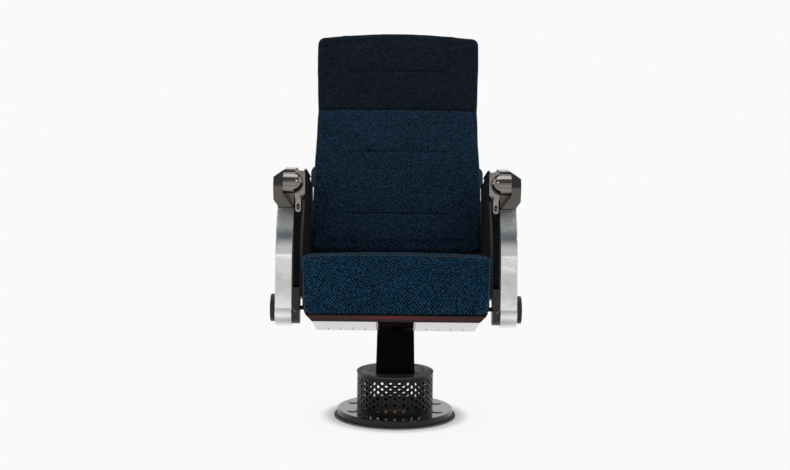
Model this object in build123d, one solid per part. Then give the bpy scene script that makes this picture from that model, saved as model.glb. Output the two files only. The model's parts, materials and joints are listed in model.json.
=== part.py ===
"""Tip up auditorium seat on a round air-outlet pedestal. Millimetres, +Z up, front towards -Y.

The origin is on the floor, in the middle of the round base plate.
"""
from build123d import *
import os
from math import cos, pi, radians, sin, sqrt, tan

# ---- pedestal ----------------------------------------------------------------------------------
GASKET_D = 316            # rubber ring on the floor
GASKET_T = 2.5
GASKET_OPENING_D = 110    # air comes up through here
PLATE_D = 300             # floor plate
PLATE_T = 17.5
PLATE_EDGE_R = 3
AIR_OPENING_D = 160
ANCHOR_X = 109            # anchor holes, half their spacing across
ANCHOR_Y = 48             # and half their spacing front to back
ANCHOR_HOLE_D = 13
ANCHOR_THREAD_D = 12
COUNTERBORE_D = 24
COUNTERBORE_DEPTH = 10
WASHER_T = 2
NUT_ACROSS_FLATS = 18
ANCHOR_CAP_D = 28
ANCHOR_CAP_H = 5.5
ANCHOR_CAP_WALL = 1.6

SCREEN_D = 198            # perforated drum
SCREEN_WALL = 1.5
SCREEN_H = 93
HOLE_D = 9
HOLE_COLUMNS = 54         # round the drum, an even number
HOLE_ROWS = 5
HOLE_PITCH = 15.2         # up a column
HOLE_START = 11           # first row above the floor plate
HOLE_SIDES = 6
STRUT_W = 22
STRUT_T = 8
STRUT_GAP = 3.5           # strut to drum
STRUT_ANGLE = 14          # struts stand this far from the X axis
CAP_D = 200               # cap plate on the drum
CAP_T = 4

# ---- column and arm ----------------------------------------------------------------------------
COLUMN_FOOT_W = 100
COLUMN_TOP_W = 95
COLUMN_H = 112            # to its front top edge
COLUMN_TOP_GAP = 5        # its sloped top to the seat's pan
COLUMN_FLAT_Z = 214       # its rear half is cut off level here
COLUMN_CORNER_R = 5
COLUMN_WALL = 4
COLUMN_END_T = 8
COLUMN_SCREW_D = 10
COLUMN_SCREW_SPREAD = 60
ARM_W = 76                # box-section arm behind the column
ARM_WALL = 5
ARM_TOP_Z = 200
ARM_LOW_Z = 134

# ---- beam --------------------------------------------------------------------------------------
BEAM_SIZE = 60
BEAM_WALL = 4
BEAM_Y = 235
BEAM_Z = 300
FLANGE_T = 8
FLANGE_OVERHANG = 20      # flange past the beam, front and rear
BOLT_D = 10
BOLT_HEAD_D = 16
BOLT_HEAD_T = 5
BOLT_OFFSET_Y = 40
BOLT_OFFSET_Z = 17

# ---- layers of a side, from the seat outwards --------------------------------------------------
SEAT_WIDTH = 468
SEAT_SIDE_GAP = 1.8
PAD_T = 3
PANEL_T = 3
TABLET_GAP = 1.0
TABLET_T = 14
SIDE_PLATE_T = 4
LEG_W = 42
LEG_CAP_T = 13
LEG_CAP_D = 69
LEG_CAP_EDGE_R = 2.5
LEG_CAP_RING = (3, 1.5, 0.8)   # a turned ring in its rim: from the leg, width, depth
SOFT_GAP = 0.3            # soft piece to its neighbour
RUN_GAP = 0.05            # pin to bush

# ---- profile of a side, seen along X -----------------------------------------------------------
SIDE_FRONT = -146         # front edge of the side frame
BEND_Z = 472              # where the front edge starts to lean back
LEAN = 35
BEND_R = 130              # of the front edge: edges behind it turn about the same centre
POCKET_Z = 352            # floor of the tablet pocket
RAIL_H = 22
SIDE_TOP_Z = 578          # top of the side plate
SIDE_REAR = 285
PANEL_REAR = 183
PANEL_TOP_FRONT = 638
PANEL_TOP_REAR = 603
PANEL_TONGUE_Z = 288      # the panel reaches down to here round the pivot
TRIM_T = 5
TRIM_TOP_Z = 566
CAP_RAIL_H = 6
PAD_BORDER = 4

# ---- leg, arm and stop -------------------------------------------------------------------------
STOP_Y = -108
STOP_Z = 295
LEG_BOSS_R = 45.5
LEG_FRONT_STEP = 3        # the blade stands this far ahead of the side frame
LEG_GROOVE = 3            # the blade runs in this far where it meets the boss
LEG_GROOVE_H = 15         # over this height above the boss
LEG_EDGE_R = 1.5
LEG_DEPTH = 58
LEG_TOP_Z = 553
POST_NOSE_R = 40
POST_REAR = -92
STOP_PIN_D = 7
STOP_SLEEVE_D = 11
STOP_PAD_W = 28
FRONT_SCREW_R = 5
HEAD_FRONT = -160         # the nose of the head
HEAD_NOSE_Z = 606
HEAD_REAR = -20
HEAD_INNER_X = 286        # inner wall of the head beside the ball
HEAD_LOW_CHAMFER = (12, 18)
HEAD_TOP_CHAMFER = (23, 16)
ARM_OUTER_X = 310
ARM_TOP_Z_FRONT = 645
ARM_TOP_Z_REAR = 621
ARM_REAR = 205
ARM_INNER_STEP = 0.7      # arm inside the plane of the side plate
ARM_EDGE_R = 6

# ---- tablet ------------------------------------------------------------------------------------
TABLET_REAR = 125
TABLET_TOP_FRONT = 572
TABLET_TOP_REAR = 558
TABLET_LIFT_GAP = 2       # tablet to the pocket floor
TABLET_CORNER_R = 22
HINGE_Y = -134
HINGE_Z = 613
BALL_R = 26
BALL_X = 262
CUP_GAP = 0.5
CUP_WALL = 5
CUP_INNER_X = 231.6
CUP_CHAMFER = 4
CUP_LIP = 5               # the socket reaches this far round to the front
LEAF_T = 6
LEAF_LOW_Z = 538
LEAF_SLOT = (6, 14)       # width and height of its slot
TABLET_SCREW_D = 5

# ---- seat --------------------------------------------------------------------------------------
PIVOT_Y = 60
PIVOT_Z = 312
PIVOT_D = 12
PIVOT_LUG_R = 18
PIVOT_LUG_W = 12
BUSH_WALL = 3
SEAT_FRONT = -230
SEAT_REAR = 160
SEAT_TOP_FRONT = 451      # crown of the front roll
SEAT_CROWN = 6.5
SEAT_SLOPE = 8.6          # the top falls to the rear, degrees
SEAT_DRAW_IN = 8.5        # narrower at the bottom edge, each side
SEAT_WAIST = 1.5          # the sides pull in between the edges
SEAT_CORNER_R = 10
SEAT_LOW_CORNER_R = 20    # the front's lower corners
BOARD_T = 16
BOARD_LIP_Z = 281         # underside of the board at the front
BOARD_RISE = 38           # the board rises to the rear
BOARD_LIP_HALF = 206      # half width of the lip's lower edge
BOARD_BEVEL_LENGTH = 76
PAN_LOW_Z = 219
PAN_LOW_Y = 0
PAN_LOW_FLAT = 20
PAN_WALL = 6
GROOVE_COUNT = 12         # shallow grooves along the pan's sloped underside
GROOVE_PITCH = 31.5
GROOVE_W = 2.4
GROOVE_DEPTH = 1.2
GROOVE_FRONT = -200
GROOVE_REAR = -25
BRACKET_T = 4.5
BRACKET_BORE_R = 2.5
BRACKET_SCREWS_Y = (-70, -10, 105)
BRACKET_TONGUE = (-20, 18)    # from the stop, front to rear
BRACKET_TONGUE_H = 16
BRACKET_NECK_Y = -60
BRACKET_REAR = 130
STOP_PAD_H = 8
NOTCH = (26, 24)          # the board's notch ahead of the stop and behind it
NOTCH_DEPTH = 6
BRACKET_GAP = 1.1         # bracket to the inner pad
SPACER_R = 12

# ---- back --------------------------------------------------------------------------------------
BACK_FRONT_Y = 190        # front of the back cushion at BACK_REF_Z
BACK_REF_Z = 430
RECLINE = 12
BACK_LOW = -28            # along the back, from the reference point
BACK_TOP = 588
BACK_TOP_CROWN = 12
BACK_WIDE_HALF = 232      # half width at the bottom
BACK_WAIST_HALF = 223.6   # at the headrest seam
BACK_TOP_HALF = 227.2     # at the top
BACK_WIDE_TO = 110        # full width up to here
BACK_CORNER_R = 17
BACK_THICK = 60
BACK_BULGE = 10
BACK_EDGE_R = 12
SEAM_W = 3
SEAM_DEPTH = 2.5
HEADREST_SEAM = 371
TUCKS = (78, 252, 481)    # short sewn tucks, along the back
TUCK_HALF = 140
SHELL_T = 14
SHELL_SKIN = 4
SHELL_INSET = 4
EAR_HALF = 243            # the shell's ears beside the arms
EAR_U = 186
EAR_LENGTH = 66
WING_LOW = -38            # its wings below the ears, along the back
WING_TOP = 122
UPRIGHT_W = 50
UPRIGHT_T = 8
UPRIGHT_X = 150
UPRIGHT_REACH = 280
UPRIGHT_BEND_R = 60
BACK_SCREW_D = 8
BACK_SCREWS_U = (110, 250)    # along the back
BEAM_SCREWS_DZ = (-12, 14)    # from the middle of the beam
SCREW_DOME = 3.5

# ---- places that follow from the sizes above ---------------------------------------------------
PLATE_TOP = GASKET_T + PLATE_T
CAP_LOW = PLATE_TOP + SCREEN_H
CAP_TOP = CAP_LOW + CAP_T
COLUMN_TOP = CAP_TOP + COLUMN_H
SEAT_HALF = SEAT_WIDTH / 2
X_PAD = SEAT_HALF + SEAT_SIDE_GAP
X_PANEL = X_PAD + PAD_T
X_POCKET = X_PANEL + PANEL_T
X_TABLET = X_POCKET + TABLET_GAP
X_TABLET_OUT = X_TABLET + TABLET_T
X_PLATE = X_TABLET_OUT + TABLET_GAP
X_LEG = X_PLATE + SIDE_PLATE_T
X_LEG_OUT = X_LEG + LEG_W
X_BRACKET_OUT = X_PAD - BRACKET_GAP
X_BRACKET = X_BRACKET_OUT - BRACKET_T
X_POST = X_TABLET
X_FLANGE = X_POCKET - FLANGE_T
BEAM_FRONT = BEAM_Y - BEAM_SIZE / 2
BEAM_REAR = BEAM_Y + BEAM_SIZE / 2
BEAM_LOW = BEAM_Z - BEAM_SIZE / 2
BEAM_TOP = BEAM_Z + BEAM_SIZE / 2
RAIL_LOW = POCKET_Z - RAIL_H
FLANGE_FRONT = BEAM_FRONT - FLANGE_OVERHANG
FLANGE_REAR = BEAM_REAR + FLANGE_OVERHANG
STOP_TOP = STOP_Z + STOP_SLEEVE_D / 2
SEAT_DEPTH = SEAT_REAR - SEAT_FRONT
BACK_PLANE = Plane(origin=(0, BACK_FRONT_Y, BACK_REF_Z), x_dir=(1, 0, 0),
                   z_dir=(0, sin(radians(RECLINE)), cos(radians(RECLINE))))
BOTTOM = (Align.CENTER, Align.CENTER, Align.MIN)


# ---- small helpers -----------------------------------------------------------------------------
def block(x0, x1, y0, y1, z0, z1):
    """A box between two corners."""
    return Pos((x0 + x1) / 2, (y0 + y1) / 2, (z0 + z1) / 2) * Box(x1 - x0, y1 - y0, z1 - z0)


def upright(radius, x, y, z0, z1):
    """A round rod along Z."""
    return Pos(x, y, z0) * Cylinder(radius, z1 - z0, align=BOTTOM)


def crossrod(radius, x0, x1, y, z):
    """A round rod along X."""
    return Pos(x0, y, z) * Rot(0, 90, 0) * Cylinder(radius, x1 - x0, align=BOTTOM)


def outline(points, radii=None):
    """A closed face through points, with some corners (by index) rounded."""
    face = make_face(Polyline(*points, close=True))
    for index, radius in (radii or {}).items():
        corner = Vector(*points[index])
        nearest = min(face.vertices(), key=lambda v: (Vector(v.X, v.Y) - corner).length)
        face = fillet(nearest, radius)
    return face


def side_slab(face, x0, x1):
    """A face drawn in Y and Z, made solid from x0 to x1."""
    return Pos(x0, 0, 0) * extrude(Plane.YZ * face, x1 - x0, dir=(1, 0, 0))


def front_slab(face, y0, y1):
    """A face drawn in X and Z, made solid from y0 to y1."""
    return Pos(0, y0, 0) * extrude(Plane.XZ * face, y1 - y0, dir=(0, 1, 0))


def group(*pieces):
    """Several separate solids in one shape."""
    return Compound([solid for piece in pieces for solid in piece.solids()])


def left(piece):
    """The mirror image of a right-hand piece."""
    return mirror(piece, about=Plane.YZ)


def on_both_sides(piece):
    """A right-hand piece with its mirror image."""
    return group(piece, left(piece))


def bend_radius(depth):
    """Radius of the bend in an edge at a depth behind SIDE_FRONT."""
    return BEND_R - depth


def front_edge(depth, z_high):
    """The bend and the top of a side's front edge, at a depth behind SIDE_FRONT."""
    bend = (SIDE_FRONT + depth, BEND_Z - depth * tan(radians(LEAN / 2)))
    top = (bend[0] + (z_high - bend[1]) * tan(radians(LEAN)), z_high)
    return bend, top


# ---- pedestal ----------------------------------------------------------------------------------
def anchor_places():
    """Where the four floor anchors are."""
    return [(x, y) for x in (-ANCHOR_X, ANCHOR_X) for y in (-ANCHOR_Y, ANCHOR_Y)]


def make_floor_gasket():
    ring = Cylinder(GASKET_D / 2, GASKET_T, align=BOTTOM)
    ring -= Cylinder(GASKET_OPENING_D / 2, GASKET_T, align=BOTTOM)
    return ring - [upright(ANCHOR_HOLE_D / 2, x, y, 0, GASKET_T) for x, y in anchor_places()]


def make_base_plate():
    plate = Pos(0, 0, GASKET_T) * Cylinder(PLATE_D / 2, PLATE_T, align=BOTTOM)
    plate = fillet(plate.edges().sort_by(Axis.Z)[-1], PLATE_EDGE_R)
    plate -= upright(AIR_OPENING_D / 2, 0, 0, GASKET_T, PLATE_TOP)
    for x, y in anchor_places():
        plate -= upright(ANCHOR_HOLE_D / 2, x, y, GASKET_T, PLATE_TOP)
        plate -= upright(COUNTERBORE_D / 2, x, y, PLATE_TOP - COUNTERBORE_DEPTH, PLATE_TOP)
    return plate


def make_anchor_nuts():
    floor = PLATE_TOP - COUNTERBORE_DEPTH
    washer = Cylinder(COUNTERBORE_D / 2 - 1, WASHER_T, align=BOTTOM)
    nut_face = RegularPolygon(NUT_ACROSS_FLATS / 2, 6, major_radius=False)
    nut = Pos(0, 0, WASHER_T) * extrude(nut_face, COUNTERBORE_DEPTH - WASHER_T)
    bore = Cylinder(ANCHOR_THREAD_D / 2, COUNTERBORE_DEPTH, align=BOTTOM)
    return group(*[Pos(x, y, floor) * ((washer + nut) - bore) for x, y in anchor_places()])


def dome(radius, height):
    """A low spherical dome standing on Z = 0."""
    ball_r = (radius ** 2 + height ** 2) / (2 * height)
    ball = Pos(0, 0, height - ball_r) * Sphere(ball_r)
    return ball & Cylinder(radius, height, align=BOTTOM)


def make_anchor_caps():
    radius = ANCHOR_CAP_D / 2
    cap = dome(radius, ANCHOR_CAP_H) - dome(radius - ANCHOR_CAP_WALL, ANCHOR_CAP_H - ANCHOR_CAP_WALL)
    return group(*[Pos(x, y, PLATE_TOP) * cap for x, y in anchor_places()])


def make_diffuser_screen():
    """A drum with one flat for each column of holes, alternate columns half a pitch higher."""
    flat_r = SCREEN_D / 2 * cos(pi / HOLE_COLUMNS)
    outer = extrude(RegularPolygon(flat_r, HOLE_COLUMNS, major_radius=False), SCREEN_H)
    inner = extrude(RegularPolygon(flat_r - SCREEN_WALL, HOLE_COLUMNS, major_radius=False), SCREEN_H)
    step = 360 / HOLE_COLUMNS
    hole = extrude(RegularPolygon(HOLE_D / 2, HOLE_SIDES), 4 * SCREEN_WALL, both=True)
    hole = Rot(0, 90, 0) * hole
    holes = []
    for column in range(HOLE_COLUMNS):
        lift = HOLE_START + (column % 2) * HOLE_PITCH / 2
        for row in range(HOLE_ROWS):
            place = Rot(0, 0, column * step + step / 2) * Pos(flat_r, 0, lift + row * HOLE_PITCH)
            holes.append(place * hole)
    return Pos(0, 0, PLATE_TOP) * (outer - inner - holes)


def make_diffuser_struts():
    outer_r = SCREEN_D / 2 - SCREEN_WALL - STRUT_GAP
    bar = block(outer_r - STRUT_T, outer_r, -STRUT_W / 2, STRUT_W / 2, PLATE_TOP, CAP_LOW)
    angles = (STRUT_ANGLE, 180 - STRUT_ANGLE, 180 + STRUT_ANGLE, -STRUT_ANGLE)
    return group(*[Rot(0, 0, angle) * bar for angle in angles])


def column_screw_places():
    """Where the screws go up into the column's foot."""
    half = COLUMN_SCREW_SPREAD / 2
    return [(x, y) for x in (-half, half) for y in (-half, half)]


def make_diffuser_cap():
    cap = Pos(0, 0, CAP_LOW) * Cylinder(CAP_D / 2, CAP_T, align=BOTTOM)
    cap = chamfer(cap.edges().sort_by(Axis.Z)[-1], CAP_T / 4)
    for x, y in column_screw_places():
        cap -= upright(COLUMN_SCREW_D / 2 + RUN_GAP, x, y, CAP_LOW, CAP_TOP)
    return cap


def column_prism(inset, z0, z1):
    """The column's tapered outline, moved in by inset, between two heights."""
    def width(z):
        return COLUMN_FOOT_W + (COLUMN_TOP_W - COLUMN_FOOT_W) * (z - CAP_TOP) / COLUMN_H - 2 * inset
    corner = COLUMN_CORNER_R - min(inset, COLUMN_CORNER_R - 1)
    low = Plane.XY.offset(z0) * RectangleRounded(width(z0), width(z0), corner)
    high = Plane.XY.offset(z1) * RectangleRounded(width(z1), width(z1), corner)
    return loft([low, high])


def column_top_cut(drop):
    """The room above the column: it falls with the seat's pan to a level stretch, moved down by drop."""
    slope = (board_low(SEAT_FRONT + 8) - PAN_LOW_Z) / (PAN_LOW_Y - SEAT_FRONT - 8)
    far = COLUMN_FOOT_W
    level = COLUMN_FLAT_Z - drop
    knee = PAN_LOW_Y - (level + drop + COLUMN_TOP_GAP - PAN_LOW_Z) / slope
    shape = outline([(far, level), (knee, level), (-far, level + (far + knee) * slope),
                     (-far, COLUMN_TOP + far), (far, COLUMN_TOP + far)])
    return side_slab(shape, -far, far)


def make_column_tube():
    """A tapered tube, closed at the foot and under its sloped top."""
    tube = column_prism(0, CAP_TOP, COLUMN_TOP) - column_top_cut(0)
    hollow = column_prism(COLUMN_WALL, CAP_TOP + COLUMN_END_T, COLUMN_TOP)
    tube -= hollow - column_top_cut(COLUMN_END_T)
    for x, y in column_screw_places():
        tube -= upright(COLUMN_SCREW_D / 2, x, y, CAP_TOP, CAP_TOP + COLUMN_END_T)
    return tube


def make_column_screws():
    shank = COLUMN_SCREW_D / 2
    screw = Pos(0, 0, -BOLT_HEAD_T) * Cylinder(BOLT_HEAD_D / 2, BOLT_HEAD_T, align=BOTTOM)
    screw += Cylinder(shank - RUN_GAP, CAP_T + COLUMN_END_T, align=BOTTOM)
    return group(*[Pos(x, y, CAP_LOW) * screw for x, y in column_screw_places()])


def make_support_arm():
    """A box-section arm from the column's rear wall back and up to the beam."""
    root = COLUMN_TOP_W / 2 - COLUMN_WALL
    shape = outline([(root, ARM_LOW_Z), (root, ARM_TOP_Z), (BEAM_FRONT - 25, ARM_TOP_Z),
                     (BEAM_FRONT, ARM_TOP_Z + 26), (BEAM_FRONT, BEAM_LOW), (BEAM_REAR, BEAM_LOW),
                     (BEAM_REAR, ARM_TOP_Z + 10), (BEAM_REAR - 48, ARM_LOW_Z)],
                    {2: 20, 6: 30, 7: 30})
    arm = side_slab(shape, -ARM_W / 2, ARM_W / 2)
    arm -= side_slab(offset(shape, -ARM_WALL), -ARM_W / 2 + ARM_WALL, ARM_W / 2 - ARM_WALL)
    return arm - column_prism(0, CAP_TOP, COLUMN_TOP)


# ---- beam --------------------------------------------------------------------------------------
def make_rear_beam():
    half = BEAM_SIZE / 2
    outer = block(-X_FLANGE, X_FLANGE, BEAM_FRONT, BEAM_REAR, BEAM_LOW, BEAM_TOP)
    outer = fillet(outer.edges().filter_by(Axis.X), BEAM_WALL)
    inner = block(-X_FLANGE, X_FLANGE, BEAM_Y - half + BEAM_WALL, BEAM_Y + half - BEAM_WALL,
                  BEAM_Z - half + BEAM_WALL, BEAM_Z + half - BEAM_WALL)
    return outer - inner


def bolt_places():
    """Where the side bolts are, in Y and Z."""
    return [(BEAM_Y + dy, BEAM_Z + dz) for dy in (-BOLT_OFFSET_Y, BOLT_OFFSET_Y)
            for dz in (-BOLT_OFFSET_Z, BOLT_OFFSET_Z)]


def bolt_holes(radius, x0, x1):
    """The four bolt holes of the right side."""
    return [crossrod(radius, x0, x1, y, z) for y, z in bolt_places()]


def make_beam_flanges():
    flange = block(X_FLANGE, X_POCKET, FLANGE_FRONT, FLANGE_REAR, BEAM_LOW, BEAM_TOP)
    return on_both_sides(flange - bolt_holes(BOLT_D / 2, X_FLANGE, X_POCKET))


def make_beam_bolts():
    bolts = []
    for y, z in bolt_places():
        head = extrude(RegularPolygon(BOLT_HEAD_D / 2, 6), BOLT_HEAD_T)
        head = Pos(X_LEG, y, z) * Rot(0, 90, 0) * head
        bolts.append(head + crossrod(BOLT_D / 2 - RUN_GAP, X_FLANGE, X_LEG, y, z))
    return on_both_sides(group(*bolts))


# ---- one side, right hand ----------------------------------------------------------------------
def make_side_plate():
    """The plate between the tablet pocket and the leg."""
    bend, top = front_edge(0, SIDE_TOP_Z)
    shape = outline([(SIDE_FRONT, POCKET_Z), bend, top, (ARM_REAR - 5, SIDE_TOP_Z),
                     (SIDE_REAR, BEAM_TOP + 60), (SIDE_REAR, BEAM_LOW), (FLANGE_FRONT, BEAM_LOW),
                     (FLANGE_FRONT - 50, RAIL_LOW), (STOP_Y, RAIL_LOW), (STOP_Y, POCKET_Z)],
                    {1: bend_radius(0), 3: 20, 4: 30, 5: 10, 6: 20, 7: 30})
    plate = side_slab(shape, X_PLATE, X_LEG)
    return plate - bolt_holes(BOLT_D / 2 + RUN_GAP, X_PLATE, X_LEG)


def make_side_rail():
    """The spacer under the tablet pocket, its rear foot on the beam and the lug of the seat pivot."""
    shape = outline([(STOP_Y, RAIL_LOW), (STOP_Y, POCKET_Z), (FLANGE_FRONT, POCKET_Z),
                     (FLANGE_REAR, BEAM_TOP + 4), (FLANGE_REAR, BEAM_LOW),
                     (FLANGE_FRONT, BEAM_LOW), (FLANGE_FRONT - 50, RAIL_LOW)],
                    {3: 10, 5: 20, 6: 30})
    rail = side_slab(shape, X_POCKET, X_PLATE)
    lug = crossrod(PIVOT_LUG_R, X_TABLET, X_TABLET + PIVOT_LUG_W, PIVOT_Y, PIVOT_Z)
    lug += block(X_TABLET, X_TABLET + PIVOT_LUG_W, PIVOT_Y - PIVOT_LUG_R, PIVOT_Y + PIVOT_LUG_R,
                 PIVOT_Z, RAIL_LOW + 1)
    rail = rail + lug
    rail -= crossrod(PIVOT_D / 2, X_POCKET, X_PLATE, PIVOT_Y, PIVOT_Z)
    return rail - bolt_holes(BOLT_D / 2 + RUN_GAP, X_POCKET, X_PLATE)


def make_front_post():
    """The post below the tablet, with a round nose about the stop pin."""
    nose_y = SIDE_FRONT + POST_NOSE_R
    stem = block(X_POST, X_LEG, SIDE_FRONT, STOP_Y, STOP_Z, POCKET_Z)
    nose = crossrod(POST_NOSE_R, X_POST, X_LEG, nose_y, STOP_Z)
    rear = block(X_POST, X_LEG, POST_REAR, nose_y + POST_NOSE_R + 1,
                 STOP_Z - POST_NOSE_R, STOP_Z + POST_NOSE_R)
    upper = block(X_POST, X_LEG, STOP_Y, POST_REAR, RAIL_LOW, STOP_Z + POST_NOSE_R)
    post = stem + nose - rear - upper
    return post - crossrod(STOP_PIN_D / 2 + RUN_GAP, X_POST, X_LEG, STOP_Y, STOP_Z)


def panel_top(y):
    """Height of the inner panel's top edge."""
    _, corner = front_edge(TRIM_T, PANEL_TOP_FRONT)
    fall = (PANEL_TOP_REAR - PANEL_TOP_FRONT) / (PANEL_REAR - corner[0])
    return PANEL_TOP_FRONT + fall * (y - corner[0])


def make_inner_panel():
    """The inner board of the tablet pocket."""
    bend, top = front_edge(TRIM_T, PANEL_TOP_FRONT)
    low_front = SIDE_FRONT + TRIM_T
    tongue = -40
    shape = outline([(low_front, RAIL_LOW), bend, top, (PANEL_REAR, PANEL_TOP_REAR),
                     (PANEL_REAR, PANEL_TONGUE_Z), (tongue, PANEL_TONGUE_Z), (tongue, RAIL_LOW)],
                    {1: bend_radius(TRIM_T), 2: 10, 3: 12, 4: 10, 5: 10})
    panel = side_slab(shape, X_PANEL, X_POCKET)
    return panel - crossrod(SPACER_R + SOFT_GAP, X_PANEL, X_POCKET, PIVOT_Y, PIVOT_Z)


def make_inner_pad():
    """The cloth pad on the inner panel."""
    border = TRIM_T + PAD_BORDER
    bend, top = front_edge(border, PANEL_TOP_FRONT - PAD_BORDER)
    shape = outline([(SIDE_FRONT + border, RAIL_LOW + PAD_BORDER), bend, top,
                     (PANEL_REAR - PAD_BORDER, PANEL_TOP_REAR - PAD_BORDER),
                     (PANEL_REAR - PAD_BORDER, RAIL_LOW + PAD_BORDER)],
                    {0: 8, 1: bend_radius(border), 2: 8, 3: 12, 4: 8})
    return side_slab(shape, X_PAD, X_PANEL - SOFT_GAP)


def make_panel_trim():
    """The light edging down the front edge of the inner panel, bevelled towards the seat."""
    bend, top = front_edge(0, TRIM_TOP_Z)
    bend_in, top_in = front_edge(TRIM_T, TRIM_TOP_Z)
    shape = outline([(SIDE_FRONT, RAIL_LOW), bend, top, top_in, bend_in,
                     (SIDE_FRONT + TRIM_T, RAIL_LOW)], {1: bend_radius(0), 4: bend_radius(TRIM_T)})
    trim = side_slab(shape, X_PAD, X_POCKET)
    lower = trim.edges().filter_by(Axis.Z).sort_by(Axis.Y)[:2].sort_by(Axis.X)[0]
    return chamfer(lower, TRIM_T - 1)


def make_inner_cap_rail():
    """The metal capping on the inner panel's top edge."""
    front = front_edge(TRIM_T, PANEL_TOP_FRONT)[1][0] + 12
    rear = PANEL_REAR - 14
    rise = CAP_RAIL_H
    corner = CAP_RAIL_H / 2
    shape = outline([(front, panel_top(front)), (front, panel_top(front) + rise),
                     (rear, panel_top(rear) + rise), (rear, panel_top(rear))], {1: corner, 2: corner})
    rail = side_slab(shape, X_PAD, X_POCKET)
    long_top = rail.edges().filter_by(lambda e: e.length > 100).sort_by(Axis.Z)[-2:]
    return chamfer(long_top, 1.5)


def make_leg():
    """The bowed cast leg with its round boss."""
    bend, top = front_edge(-LEG_FRONT_STEP, LEG_TOP_Z)
    bend_rear, top_rear = front_edge(LEG_DEPTH - LEG_FRONT_STEP, LEG_TOP_Z)
    blade = outline([(bend[0], STOP_Z), bend, top, top_rear, bend_rear, (bend_rear[0], STOP_Z)],
                    {1: bend_radius(-LEG_FRONT_STEP), 4: bend_radius(LEG_DEPTH - LEG_FRONT_STEP)})
    leg = side_slab(blade, X_LEG, X_LEG_OUT)
    outer = leg.faces().sort_by(Axis.X)[-1]
    long_edges = outer.edges().filter_by(lambda e: e.length < 200 and e.bounding_box().size.Z > 10)
    leg = fillet(long_edges, LEG_EDGE_R)
    boss = crossrod(LEG_BOSS_R, X_LEG, X_LEG_OUT, STOP_Y, STOP_Z)
    leg += fillet(boss.edges().sort_by(Axis.X)[-1], LEG_EDGE_R)
    face = SIDE_FRONT - LEG_FRONT_STEP
    proud = face - (STOP_Y - LEG_BOSS_R)
    groove = outline([(face - proud - 3, STOP_Z + LEG_BOSS_R / 2), (face, STOP_Z + LEG_BOSS_R / 2),
                      (face, STOP_Z + LEG_GROOVE_H), (face + LEG_GROOVE, STOP_Z + 1),
                      (face - proud - 3, STOP_Z - 1)])
    leg -= side_slab(groove, X_LEG, X_LEG_OUT)
    return leg - crossrod(STOP_PIN_D / 2 + RUN_GAP, X_LEG, X_LEG_OUT, STOP_Y, STOP_Z)


def make_leg_cap():
    """The round end cap on the leg's boss, with a rounded edge and a ring turned in its rim."""
    cap = crossrod(LEG_CAP_D / 2, X_LEG_OUT, X_LEG_OUT + LEG_CAP_T, STOP_Y, STOP_Z)
    cap = fillet(cap.edges().sort_by(Axis.X)[-1], LEG_CAP_EDGE_R)
    start, width, depth = LEG_CAP_RING
    ring = crossrod(LEG_CAP_D / 2 + 1, X_LEG_OUT + start, X_LEG_OUT + start + width, STOP_Y, STOP_Z)
    ring -= crossrod(LEG_CAP_D / 2 - depth, X_LEG_OUT + start, X_LEG_OUT + start + width, STOP_Y, STOP_Z)
    return cap - ring


def make_stop_pin():
    """The pin that the seat rests on, through the post and the leg."""
    return crossrod(STOP_PIN_D / 2, X_BRACKET - 2.5, X_LEG_OUT, STOP_Y, STOP_Z)


def make_stop_sleeve():
    sleeve = crossrod(STOP_SLEEVE_D / 2, X_BRACKET - 2.5, X_POST, STOP_Y, STOP_Z)
    return sleeve - crossrod(STOP_PIN_D / 2 + RUN_GAP, X_BRACKET - 2.5, X_POST, STOP_Y, STOP_Z)


def make_front_screw():
    """The round screw head on the post's nose."""
    return Pos((X_POST + X_LEG) / 2 + 2, SIDE_FRONT, STOP_Z) * Rot(90, 0, 0) * dome(FRONT_SCREW_R, 2)


def make_arm_head():
    """The faceted front end of the arm: an outer cheek, and a full-width block behind the ball."""
    low = LEG_TOP_Z
    high = ARM_TOP_Z_FRONT
    low_x, low_z = HEAD_LOW_CHAMFER
    top_x, top_z = HEAD_TOP_CHAMFER
    cheek = outline([(X_LEG + 2, low), (ARM_OUTER_X - low_x, low), (ARM_OUTER_X, low + low_z),
                     (ARM_OUTER_X, high - top_z), (ARM_OUTER_X - top_x, high), (HEAD_INNER_X, high),
                     (HEAD_INNER_X, HINGE_Z - BALL_R - 1)])
    nose = outline([(HEAD_FRONT, HEAD_NOSE_Z), (HEAD_FRONT + 14, high + 1), (HEAD_REAR, high + 1),
                    (HEAD_REAR, low - 1), (HEAD_FRONT + 22, low - 1)], {0: 6})
    head = front_slab(cheek, HEAD_FRONT, HEAD_REAR) & side_slab(nose, X_LEG, ARM_OUTER_X)
    inner_x = X_PLATE + ARM_INNER_STEP
    start = HINGE_Y + BALL_R + CUP_WALL + 2
    block_face = outline([(inner_x, SIDE_TOP_Z), (inner_x, high), (ARM_OUTER_X - top_x, high),
                          (ARM_OUTER_X, high - top_z), (ARM_OUTER_X, SIDE_TOP_Z)])
    foot = outline([(X_LEG, low), (X_LEG, SIDE_TOP_Z), (ARM_OUTER_X, SIDE_TOP_Z),
                    (ARM_OUTER_X, low + low_z), (ARM_OUTER_X - low_x, low)])
    return head + front_slab(block_face, start, HEAD_REAR) + front_slab(foot, start, HEAD_REAR)


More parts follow.
